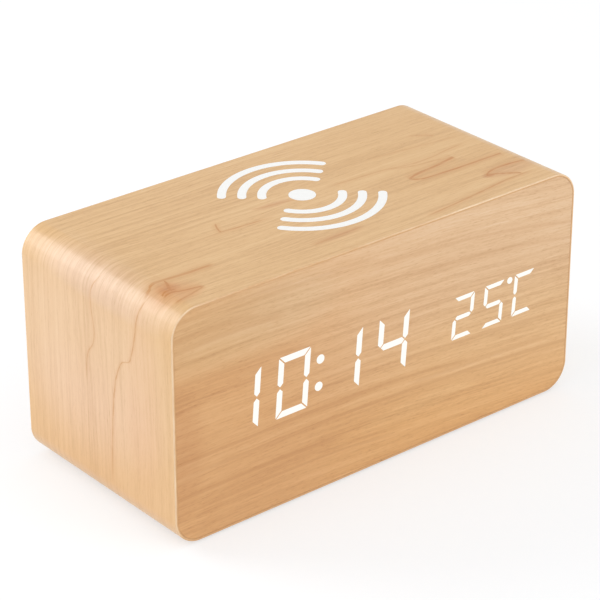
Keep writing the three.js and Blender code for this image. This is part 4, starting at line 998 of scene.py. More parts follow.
@dataclass(frozen=True)
class Outline:
    """A circle pulled apart into a rounded rectangle in X and Z."""

    width: float
    height: float
    radius: float
    x: float = 0.0
    z: float = 0.0
    steps: int = 64

    def inset(self, distance: float) -> "Outline":
        """Moves every side inwards by the same distance."""
        width, height = self.width - 2 * distance, self.height - 2 * distance
        return replace(self, width=width, height=height, radius=self.radius - distance)

    def run_to(self, x: float, z: float) -> float:
        """Gives the distance along the outline from the middle of its top.

        Args:
            x: Place across it.
            z: Height.

        Returns:
            The distance, with the sign of x.
        """
        flat = self.width / 2 - self.radius
        side = self.height / 2 - self.radius
        across, up = abs(x) - flat, z - self.z
        bend = self.radius * math.pi / 2
        if across <= 0:
            run = abs(x) if up > 0 else 2 * (flat + bend + side) - abs(x)
        elif up > side:
            run = flat + self.radius * math.atan2(across, up - side)
        elif up >= -side:
            run = flat + bend + side - up
        else:
            run = flat + bend + 2 * side + self.radius * math.atan2(-side - up, across)
        return math.copysign(run, x)


def stadium(length: float, height: float, x: float, z: float) -> Outline:
    """Gives a lying stadium's outline."""
    return Outline(length, height, height / 2, x, z)


def circle(diameter: float, x: float, z: float, steps: int = 40) -> Outline:
    """Gives a circle's outline."""
    return Outline(diameter, diameter, diameter / 2, x, z, steps)


def add_object(name: str, data: bpy.types.ID) -> bpy.types.Object:
    """Makes an object and puts it in the scene.

    Args:
        name: Its name.
        data: Its mesh, camera or light.

    Returns:
        The object.
    """
    made = bpy.data.objects.new(name, data)
    bpy.context.scene.collection.objects.link(made)
    return made


@dataclass(frozen=True)
class Piece:
    """What a mesh becomes.

    Attributes:
        slot: The record's material slot.
        finishes: What its faces are dressed in, by material index.
        replaces: The nodes that it stands for.
        weighted: True if wide flat faces keep their own shading.
    """

    name: str
    slot: str
    finishes: tuple[Finish, ...]
    replaces: tuple[str, ...] = ()
    body: str = CASE_BODY
    weighted: bool = True

    def settle(self, mesh: bpy.types.Mesh) -> None:
        """Dresses a mesh and lets it ride on its body.

        Args:
            mesh: The piece's mesh, in metres.
        """
        mesh.shade_smooth()
        mesh.set_sharp_from_angle(angle=math.radians(SHARP_DEGREES))
        for finish in self.finishes:
            mesh.materials.append(finish.material())
        piece = add_object(self.name, mesh)
        if self.weighted:
            modifier = piece.modifiers.new("flat_faces", "WEIGHTED_NORMAL")
            modifier.keep_sharp = True
        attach(piece, self.body)
        if self.replaces:
            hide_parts(*self.replaces)
        LOG.info("%s on %s: %d faces", self.name, self.body, len(mesh.polygons))


Verts = list[bmesh.types.BMVert]
Edges = list[bmesh.types.BMEdge]
Faces = list[bmesh.types.BMFace]
EdgeTest = Callable[[bmesh.types.BMEdge], bool]


def verts_in(geom: Iterable[object]) -> Verts:
    """Gives the vertices among what an operator made."""
    return [item for item in geom if isinstance(item, bmesh.types.BMVert)]


def faces_of(verts: Verts) -> Faces:
    """Gives the faces at some vertices, each once and in order."""
    return list(dict.fromkeys(face for vert in verts for face in vert.link_faces))


class Blank:
    """A mesh in work, in millimetres, that becomes one piece of the clock."""

    def __init__(self) -> None:
        """Starts with nothing."""
        self.bm = bmesh.new()

    def loop(self, outline: Outline, depth: float) -> Edges:
        """Draws an outline.

        Args:
            outline: Its shape in X and Z.
            depth: Its place along Y.

        Returns:
            The loop's edges.
        """
        half_step = math.pi / outline.steps
        radius = outline.radius / math.cos(half_step)
        matrix = UPRIGHT @ Matrix.Rotation(half_step, 4, "Z")
        made = bmesh.ops.create_circle(
            self.bm, cap_ends=False, segments=outline.steps, radius=radius, matrix=matrix
        )
        pull_x = outline.width / 2 - outline.radius
        pull_z = outline.height / 2 - outline.radius
        for vert in made["verts"]:
            vert.co.x += math.copysign(pull_x, vert.co.x) + outline.x
            vert.co.z += math.copysign(pull_z, vert.co.z) + outline.z
            vert.co.y = depth
        return self.edges_among(made["verts"])

    def edges_among(self, verts: Iterable[bmesh.types.BMVert]) -> Edges:
        """Gives the edges that join the given vertices."""
        chosen = set(verts)
        return [edge for edge in self.bm.edges if chosen.issuperset(edge.verts)]

    def fill(self, *loops: Edges) -> Faces:
        """Fills a flat outline.

        Args:
            loops: The outline's edges, then those of each hole in it.

        Returns:
            The new faces.
        """
        edges = [edge for loop in loops for edge in loop]
        made = bmesh.ops.triangle_fill(self.bm, use_beauty=True, edges=edges)
        return [item for item in made["geom"] if isinstance(item, bmesh.types.BMFace)]

    def cap(self, loop: Edges) -> Faces:
        """Closes one loop with a single face."""
        return bmesh.ops.edgeloop_fill(self.bm, edges=loop)["faces"]

    def pull(self, made: Mapping[str, list], shift: Sequence[float]) -> Verts:
        """Moves the vertices that an operator made.

        Args:
            made: What the operator gave back.
            shift: How far they move.

        Returns:
            The vertices.
        """
        verts = verts_in(made["geom"])
        bmesh.ops.translate(self.bm, vec=Vector(shift), verts=verts)
        return verts

    def wall(self, loop: Edges, shift: Sequence[float]) -> Edges:
        """Pulls a wall out of a loop and gives its far edges."""
        return self.edges_among(self.pull(bmesh.ops.extrude_edge_only(self.bm, edges=loop), shift))

    def thicken(self, faces: Faces, shift: Sequence[float]) -> None:
        """Pulls a closed slab out of flat faces."""
        self.pull(bmesh.ops.extrude_face_region(self.bm, geom=faces), shift)

    def shell(self, thickness: float) -> None:
        """Gives every wall its thickness, towards the inside."""
        self.orient()
        bmesh.ops.solidify(self.bm, geom=self.bm.faces[:], thickness=thickness)

    def merge(self) -> None:
        """Merges vertices that lie in one place."""
        bmesh.ops.remove_doubles(self.bm, verts=self.bm.verts[:], dist=MERGE_DISTANCE)

    def orient(self) -> None:
        """Merges doubles and points all faces outwards."""
        self.merge()
        bmesh.ops.recalc_face_normals(self.bm, faces=self.bm.faces[:])

    def move(self, shift: Sequence[float]) -> None:
        """Moves everything."""
        bmesh.ops.translate(self.bm, vec=Vector(shift), verts=self.bm.verts[:])

    def bevel(self, geom: Union[Verts, Edges], width: float, segments: int, affect: str) -> None:
        """Rounds edges or corners.

        Args:
            geom: The edges, or the vertices of flat faces.
            width: How wide the rounding is.
            segments: How many sides it has.
            affect: EDGES or VERTICES.
        """
        bmesh.ops.bevel(
            self.bm, geom=geom, offset=width, offset_type="OFFSET", segments=segments, profile=0.5,
            affect=affect, material=-1, clamp_overlap=True,
        )

    def soften(self, width: float, segments: int, chosen: EdgeTest) -> None:
        """Rounds the chosen edges by so many faces."""
        self.bevel([edge for edge in self.bm.edges if chosen(edge)], width, segments, "EDGES")

    def lathe(self, profile: Sequence[PlanePoint], centre: Vector, axis: Vector, steps: int) -> None:
        """Turns a profile round an axis.

        Args:
            profile: Radius and place along the axis, from one end to the other.
            centre: Where the axis starts.
            axis: Its direction.
            steps: How many faces go round.
        """
        outwards = axis.orthogonal().normalized()
        verts = [
            self.bm.verts.new(centre + outwards * radius + axis * along) for radius, along in profile
        ]
        edges = [self.bm.edges.new(pair) for pair in zip(verts, verts[1:])]
        bmesh.ops.spin(
            self.bm, geom=[*verts, *edges], cent=centre, axis=axis, angle=math.tau, steps=steps,
            use_merge=True,
        )
        self.merge()

    def grid(self, matrix: Matrix, cells: int = 1, half: float = 1.0) -> Verts:
        """Adds a square grid of so many cells a side and gives its vertices."""
        cut = {"x_segments": cells, "y_segments": cells}
        return bmesh.ops.create_grid(self.bm, **cut, size=half, matrix=matrix)["verts"]

    def block(self, low: Sequence[float], high: Sequence[float]) -> None:
        """Adds a box.

        Args:
            low: Its lowest corner.
            high: Its highest corner.
        """
        box = Box(Vector(low), Vector(high))
        matrix = Matrix.Translation(box.middle) @ Matrix.Diagonal((*box.size, 1.0))
        bmesh.ops.create_cube(self.bm, size=1.0, matrix=matrix)

    def paint(self, index: int, chosen: Callable[[bmesh.types.BMFace], bool]) -> None:
        """Gives the chosen faces another of the piece's finishes."""
        for face in filter(chosen, self.bm.faces):
            face.material_index = index

    def settle(self, piece: Piece) -> None:
        """Makes the mesh, in metres, into a piece.

        Args:
            piece: What it becomes.
        """
        bmesh.ops.scale(self.bm, vec=Vector((MM, MM, MM)), verts=self.bm.verts[:])
        mesh = bpy.data.meshes.new(piece.name)
        self.bm.to_mesh(mesh)
        self.bm.free()
        piece.settle(mesh)


def edge_at(depth: float) -> EdgeTest:
    """Makes a test for edges at one depth.

    Args:
        depth: Place along Y.

    Returns:
        A function that says whether an edge lies there, at a sharp corner.
    """

    def test(edge: bmesh.types.BMEdge) -> bool:
        """Says whether an edge lies at that depth, at a sharp corner."""
        level = all(abs(vert.co.y - depth) < MERGE_DISTANCE for vert in edge.verts)
        return level and edge.calc_face_angle(0.0) > CORNER_ANGLE

    return test


# Sub-assemblies


@dataclass
class Casework:
    """The veneers round the case and the rear panel that frames the controls.

    The skins stand back by the relief, so that print and lit windows stay within the case.
    """

    corner_radius: float = 8.5
    wrap_thickness: float = 0.7
    seam_width: float = 0.3
    relief: float = 0.05
    edge_break: float = 0.25
    face_gap: float = 0.04
    face_break: float = 0.12
    corner_steps: int = 96
    under_z: float = 1.0
    plate_gap: float = 0.3
    ledge_width: float = 4.5
    ledge_y: float = 31.1
    glue_line: float = 0.1

    def outline(self, inset: float) -> Outline:
        """Gives the case's outline.

        Args:
            inset: How far it is moved inwards.

        Returns:
            The outline of the skins.
        """
        box = box_mm("wrap_veneer")
        x, z = box.middle.x, box.middle.z
        whole = Outline(box.size.x, box.size.z, self.corner_radius, x, z, self.corner_steps)
        return whole.inset(self.relief + inset)

    def build_wrap(self) -> None:
        """Builds the sheet that runs round top, ends and bottom."""
        box = box_mm("wrap_veneer")
        front, rear = box.low.y + self.relief, box.high.y - self.relief
        outline = self.outline(0.0)
        blank = Blank()
        blank.wall(blank.loop(outline, front), (0.0, rear - front, 0.0))
        self.cut_seam(blank)
        blank.shell(self.wrap_thickness)
        middle = Vector((0.0, 0.0, outline.z))

        def at_end(vert: bmesh.types.BMVert) -> bool:
            """Says whether a vertex lies at the front or rear."""
            return min(abs(vert.co.y - front), abs(vert.co.y - rear)) < MERGE_DISTANCE

        def outer_rim(edge: bmesh.types.BMEdge) -> bool:
            """Says whether an edge is on the wrap's outer rim.

            Args:
                edge: The edge.

            Returns:
                True for an outer edge of the front or rear.
            """
            walls = [face for face in edge.link_faces if abs(face.normal.y) < WALL_NORMAL]
            outwards = [face.normal.dot(face.calc_center_median() - middle) > 0 for face in walls]
            return all(at_end(vert) for vert in edge.verts) and outwards == [True]

        blank.bm.normal_update()
        blank.soften(self.edge_break, 3, outer_rim)
        blank.bm.normal_update()
        blank.paint(1, lambda face: abs(face.normal.y) > EDGE_NORMAL)
        self.map_grain(blank, outline)
        blank.settle(Piece("wrap_sheet", "wrap_veneer", (MAPLE_WRAP, EDGE), ("wrap_veneer",)))

    def cut_seam(self, blank: Blank) -> None:
        """Opens the wrap where its two ends meet under the case.

        Args:
            blank: The wrap's mesh.
        """
        for x in (-self.seam_width / 2, self.seam_width / 2):
            under = [face for face in blank.bm.faces if face.calc_center_median().z < self.under_z]
            edges = dict.fromkeys(edge for face in under for edge in face.edges)
            verts = dict.fromkeys(vert for face in under for vert in face.verts)
            around = [*under, *edges, *verts]
            bmesh.ops.bisect_plane(blank.bm, geom=around, plane_co=(x, 0, 0), plane_no=(1, 0, 0))
        centres = {face: face.calc_center_median() for face in blank.bm.faces}
        gap = [
            face for face, place in centres.items()
            if place.z < self.under_z and abs(place.x) < self.seam_width / 2
        ]
        bmesh.ops.delete(blank.bm, geom=gap, context="FACES")

    @staticmethod
    def map_grain(blank: Blank, outline: Outline) -> None:
        """Lays the grain along the sheet, round its corners.

        Args:
            blank: The wrap's mesh.
            outline: The case's outline.
        """
        layer = blank.bm.loops.layers.uv.new(GRAIN_MAP)
        for face in blank.bm.faces:
            for loop in face.loops:
                place = loop.vert.co
                loop[layer].uv = (outline.run_to(place.x, place.z) * MM, place.y * MM)

    def break_edges(self, blank: Blank, depth: float) -> None:
        """Rounds a sheet's edges and bares the cut edge.

        Args:
            blank: The sheet's mesh.
            depth: Where along Y the edges lie.
        """
        blank.orient()
        blank.soften(self.face_break, 2, edge_at(depth))
        blank.bm.normal_update()
        blank.paint(1, lambda face: abs(face.normal.y) < WALL_NORMAL)

    @staticmethod
    def opening(gap: float) -> Outline:
        """Gives the control plate's outline.

        Args:
            gap: How far it is moved outwards.

        Returns:
            The outline.
        """
        plate = box_mm("control_plate")
        size, middle = plate.size, plate.middle
        return stadium(size.x + 2 * gap, size.z + 2 * gap, middle.x, middle.z)

    def build_front(self) -> None:
        """Builds the sheet that the display shines through."""
        box = box_mm("front_veneer")
        front = box.low.y + self.relief
        blank = Blank()
        faces = blank.cap(blank.loop(self.outline(self.wrap_thickness + self.face_gap), front))
        blank.thicken(faces, (0.0, box.high.y - front, 0.0))
        self.break_edges(blank, front)
        blank.settle(Piece("front_sheet", "face_veneer", (MAPLE_FACE, EDGE), ("front_veneer",)))

    def build_rear(self) -> None:
        """Builds the rear sheet with its opening for the controls."""
        box = box_mm("rear_veneer")
        rear = box.high.y - self.relief
        blank = Blank()
        outer = blank.loop(self.outline(self.wrap_thickness + self.face_gap), rear)
        hole = blank.loop(self.opening(self.plate_gap), rear)
        blank.thicken(blank.fill(outer, hole), (0.0, box.low.y - rear, 0.0))
        self.break_edges(blank, rear)
        blank.settle(Piece("rear_sheet", "face_veneer", (MAPLE_REAR, EDGE), ("rear_veneer",)))

    def build_rear_panel(self) -> None:
        """Builds the rear panel: a pocket for the plate and an opening through its floor."""
        box = box_mm("rear_panel")
        blank = Blank()
        back = blank.loop(self.outline(self.wrap_thickness + self.glue_line), box.high.y)
        front = blank.wall(back, (0.0, box.low.y - box.high.y, 0.0))
        mouth = blank.loop(self.opening(self.plate_gap), box.high.y)
        seat = blank.wall(mouth, (0.0, self.ledge_y - box.high.y, 0.0))
        hole = blank.loop(self.opening(-self.ledge_width), self.ledge_y)
        inner = blank.wall(hole, (0.0, box.low.y - self.ledge_y, 0.0))
        for loops in ((back, mouth), (seat, hole), (front, inner)):
            blank.fill(*loops)
        blank.orient()
        blank.settle(Piece("rear_frame", "core_wood", (CORE,), ("rear_panel",)))

    def build(self) -> None:
        """Builds all of the casework."""
        self.build_wrap()
        self.build_front()
        self.build_rear()
        self.build_rear_panel()


class Bar(Enum):
    """The kinds of bars in a seven-segment digit."""

    RAIL = "lying, at the top or bottom"
    POST = "standing, at the left or right"
    MIDDLE = "lying, in the middle"


class Segment(Enum):
    """The seven bars of a digit: kind, side across and side up."""

    TOP = (Bar.RAIL, 1, 1)
    BOTTOM = (Bar.RAIL, 1, -1)
    CENTRE = (Bar.MIDDLE, 1, 1)
    UPPER_LEFT = (Bar.POST, -1, 1)
    UPPER_RIGHT = (Bar.POST, 1, 1)
    LOWER_LEFT = (Bar.POST, -1, -1)
    LOWER_RIGHT = (Bar.POST, 1, -1)


class Glyph(Enum):
    """The signs on the display, by the bars that are lit."""

    ZERO = "TOP BOTTOM UPPER_LEFT UPPER_RIGHT LOWER_LEFT LOWER_RIGHT"
    ONE = "UPPER_RIGHT LOWER_RIGHT"
    TWO = "TOP UPPER_RIGHT CENTRE LOWER_LEFT BOTTOM"
    FOUR = "UPPER_LEFT UPPER_RIGHT CENTRE LOWER_RIGHT"
    FIVE = "TOP UPPER_LEFT CENTRE LOWER_RIGHT BOTTOM"
    CELSIUS = "TOP UPPER_LEFT LOWER_LEFT BOTTOM"

    def bars(self) -> list[Segment]:
        """Gives the bars that are lit."""
        return [Segment[name] for name in self.value.split()]


@dataclass(frozen=True)
class DigitSize:
    """Width, height and stroke of a digit."""

    width: float
    height: float
    stroke: float


Signs = tuple[tuple[Glyph, float], ...]
Cut = tuple[PlanePoint, PlanePoint]


@dataclass
class Display:
    """The lit digits, as they show through the front sheet, placed from the reflector's middle.

    Light spreads in the sheet, so strokes and dots are a little wider than the cavities behind them.
    The slant is in degrees, and a corner is rounded where its outline turns by corner_turn radians.
    """

    large: DigitSize = DigitSize(11.4, 18.8, 1.95)
    small: DigitSize = DigitSize(8.0, 13.5, 1.34)
    time: Signs = ((Glyph.ONE, -52.2), (Glyph.ZERO, -34.5), (Glyph.ONE, -15.4), (Glyph.FOUR, 2.3))
    temperature: Signs = ((Glyph.TWO, 29.7), (Glyph.FIVE, 41.8), (Glyph.CELSIUS, 53.9))
    colon_x: float = -24.95
    colon_spread: float = 8.4
    colon_dot: float = 2.8
    degree_x: float = 47.85
    degree_dot: float = 2.1
    gap: float = 0.4
    slant: float = 4.5
    corner: float = 0.12
    corner_turn: float = 0.5
    dot_steps: int = 32
    depth: float = 0.2

    def cuts(self, bar: Bar, size: DigitSize) -> tuple[PlanePoint, PlanePoint, list[Cut]]:
        """Gives a bar of the upper right quarter before it is mirrored.

        Args:
            bar: The kind of bar.
            size: The digit's size.

        Returns:
            The bar's middle, its width and height, and the cuts through it as point and direction.
        """
        w, h, s = size.width / 2, size.height / 2, size.stroke
        m = self.gap * math.sqrt(0.5)
        if bar is Bar.RAIL:
            return (0, h - s / 2), (2 * w, s), [((w - m, h), (1, -1)), ((m - w, h), (-1, -1))]
        if bar is Bar.POST:
            foot = (w - s / 2, m)
            ends = [((w, h - m), (-1, 1)), (foot, (-1, -1)), (foot, (1, -1))]
            return (w - s / 2, h / 2), (s, h), ends
        tip = w - s / 2 - m
        ends = [((side * tip, 0), (side, rise)) for side in (-1, 1) for rise in (-1, 1)]
        return (0, 0), (2 * w, s), ends

    def draw_bar(self, blank: Blank, segment: Segment, size: DigitSize, x: float) -> None:
        """Draws one lit bar as a flat face in X and Z about the display's middle.

        Args:
            blank: The mesh to draw in.
            segment: Which bar.
            size: The digit's size.
            x: The digit's middle.
        """
        bar, side, rise = segment.value
        (cx, cz), (width, height), ends = self.cuts(bar, size)
        scale = Matrix.Diagonal((width / 2, 1.0, height / 2, 1.0))
        verts = blank.grid(Matrix.Translation((side * cx, 0.0, rise * cz)) @ scale @ UPRIGHT)
        for (px, pz), (nx, nz) in ends:
            faces = faces_of(verts)
            edges = dict.fromkeys(edge for face in faces for edge in face.edges)
            cut = bmesh.ops.bisect_plane(
                blank.bm,
                geom=[*faces, *edges, *verts],
                plane_co=(side * px, 0.0, rise * pz),
                plane_no=(side * nx, 0.0, rise * nz),
                clear_outer=True,
            )
            kept = verts_in((*cut["geom"], *cut["geom_cut"]))
            verts = list(dict.fromkeys(vert for vert in kept if vert.is_valid))
        lean = Matrix.Shear("XY", 4, (math.tan(math.radians(self.slant)), 0.0))
        bmesh.ops.transform(blank.bm, matrix=Matrix.Translation((x, 0.0, 0.0)) @ lean, verts=verts)

    def draw_signs(self, signs: Signs, size: DigitSize) -> Blank:
        """Draws a row of signs in one size.

        Args:
            signs: The signs and their places across.
            size: Their size.

        Returns:
            The mesh that they are drawn in.
        """
        blank = Blank()
        for glyph, x in signs:
            for segment in glyph.bars():
                self.draw_bar(blank, segment, size, x)
        return blank

    def draw_dot(self, blank: Blank, diameter: float, x: float, z: float) -> None:
        """Draws one lit dot that leans with the digits."""
        lean = z * math.tan(math.radians(self.slant))
        blank.cap(blank.loop(circle(diameter, x + lean, z, self.dot_steps), 0.0))

    def finish_group(self, blank: Blank, name: str) -> None:
        """Rounds the bars' corners and lets the light into the sheet.

        Args:
            blank: The drawn bars and dots.
            name: The piece's name.
        """
        corners = [vert for vert in blank.bm.verts if vert.calc_edge_angle(0.0) > self.corner_turn]
        blank.bevel(corners, self.corner, 3, "VERTICES")
        blank.thicken(blank.bm.faces[:], (0.0, self.depth, 0.0))
        blank.orient()
        middle = box_mm("display_reflector").middle
        blank.move((middle.x, box_mm("front_veneer").low.y, middle.z))
        blank.settle(Piece(name, "milky_sheet", (LIT_WINDOW,), weighted=False))

    def build(self) -> None:
        """Builds the lit time and the lit temperature."""
        time = self.draw_signs(self.time, self.large)
        for side in (-1, 1):
            self.draw_dot(time, self.colon_dot, self.colon_x, side * self.colon_spread / 2)
        self.finish_group(time, "lit_time")
        temperature = self.draw_signs(self.temperature, self.small)
        rise = (self.small.height - self.degree_dot) / 2
        self.draw_dot(temperature, self.degree_dot, self.degree_x, rise)
        self.finish_group(temperature, "lit_temperature")


@dataclass
class ChargingMark:
    """The print on the top: a dot between stacks of arcs, given as middle radius and span in degrees."""

    arcs: tuple[PlanePoint, ...] = ((11.7, 119.5), (17.45, 112.0), (23.3, 108.0))
    stroke: float = 2.6
    dot: float = 8.0
    centre: PlanePoint = (0.5, 1.9)
    film: float = 0.05
    arc_steps: int = 48
    end_steps: int = 10
    dot_steps: int = 64

    def draw_arc(self, blank: Blank, radius: float, span: float, facing: float) -> None:
        """Draws one arc with round ends, flat on the top.

        Args:
            blank: The mesh to draw in.
            radius: The arc's middle radius.
            span: Its angle in degrees.
            facing: The direction of its middle, in degrees from X.
        """
        half = math.radians(span) / 2
        start = math.radians(facing) - half
        ray = Vector((math.cos(start), math.sin(start), 0.0))
        reach = (radius - self.stroke / 2, radius, radius + self.stroke / 2)
        verts = [blank.bm.verts.new(ray * r) for r in reach]
        edges = [blank.bm.edges.new(pair) for pair in zip(verts, verts[1:])]
        turned = bmesh.ops.spin(
            blank.bm, geom=[*verts, *edges], cent=(0, 0, 0), axis=ALONG_Z,
            angle=2 * half, steps=self.arc_steps, use_merge=False,
        )["geom_last"]
        last = sorted(verts_in(turned), key=lambda vert: vert.co.length)
        for row, turn in ((verts, -math.pi), (last, math.pi)):
            edge = blank.bm.edges.get((row[1], row[2]))
            bmesh.ops.spin(
                blank.bm, geom=[row[1], row[2], edge], cent=row[1].co.copy(), axis=ALONG_Z,
                angle=turn, steps=self.end_steps, use_merge=False,
            )

    def build(self) -> None:
        """Builds the print."""
        blank = Blank()
        for radius, span in self.arcs:
            for facing in (90.0, 270.0):
                self.draw_arc(blank, radius, span, facing)
        bmesh.ops.create_circle(blank.bm, cap_ends=True, segments=self.dot_steps, radius=self.dot / 2)
        blank.orient()
        bmesh.ops.dissolve_degenerate(blank.bm, dist=MERGE_DISTANCE, edges=blank.bm.edges[:])
        blank.bm.normal_update()
        down = [face for face in blank.bm.faces if face.normal.z < 0]
        bmesh.ops.reverse_faces(blank.bm, faces=down)
        blank.thicken(blank.bm.faces[:], (0.0, 0.0, self.film))
        blank.orient()
        blank.move((*self.centre, box_mm("wrap_veneer").high.z - self.film))
        blank.settle(Piece("charging_mark", "white_plastic", (WHITE_PRINT,), weighted=False))


class KeySign(Enum):
    """What is printed on a key, as its number of corners; below zero it points down."""

    DOT = 24
    UP = 3
    DOWN = -3


@dataclass(frozen=True)
class KeyShape:
    """Sizes of a push button; its edge and dish go inwards and down from the cap's side and top."""

    stem_radius: float = 1.4
    stem_height: float = 1.0
    flange_reach: float = 1.0
    flange_height: float = 1.0
    edge: tuple[PlanePoint, ...] = (
        (0.0, 0.45), (0.06, 0.2), (0.2, 0.05), (0.42, 0.0), (0.75, 0.02), (1.2, 0.12),
    )
    dish_share: float = 0.4
    dish_rim: float = 0.26
    dish_depth: float = 0.3
    sign_middle: float = 0.25
    sign_height: float = 0.16
    dot_radius: float = 0.75
    arrow_radius: float = 1.35
    steps: int = 64


@dataclass(frozen=True)
class ScrewShape:
    """Sizes of a pan-head screw; its head's edge goes inwards from the side and up from the seat."""

    head_height: float = 1.1
    shank_radius: float = 0.85
    flat_radius: float = 1.25
    edge: tuple[PlanePoint, ...] = ((0.1, 0.0), (0.0, 0.12), (0.0, 0.4), (0.12, 0.72), (0.3, 0.96))
    recess_depth: float = 0.6
    recess_length: float = 2.0
    recess_width: float = 0.5
    steps: int = 48


@dataclass(frozen=True)
class InletShape:
    """Sizes of the inlet's shell, and of the tongue in it with its block and contacts."""

    plate_gap: float = 0.25
    lower_cut: float = 1.1
    upper_rounding: float = 0.4
    wall: float = 0.3
    mouth_break: float = 0.08
    block_depth: float = 3.0
    tongue_start: float = 2.8
    tongue_half_width: float = 1.95
    tongue_half_height: float = 0.3
    tongue_break: float = 0.1
    contact_count: int = 5
    contact_pitch: float = 0.65
    contact_half_width: float = 0.17
    contact_under: float = 0.36
    contact_over: float = 0.28
    contact_end: float = 0.25


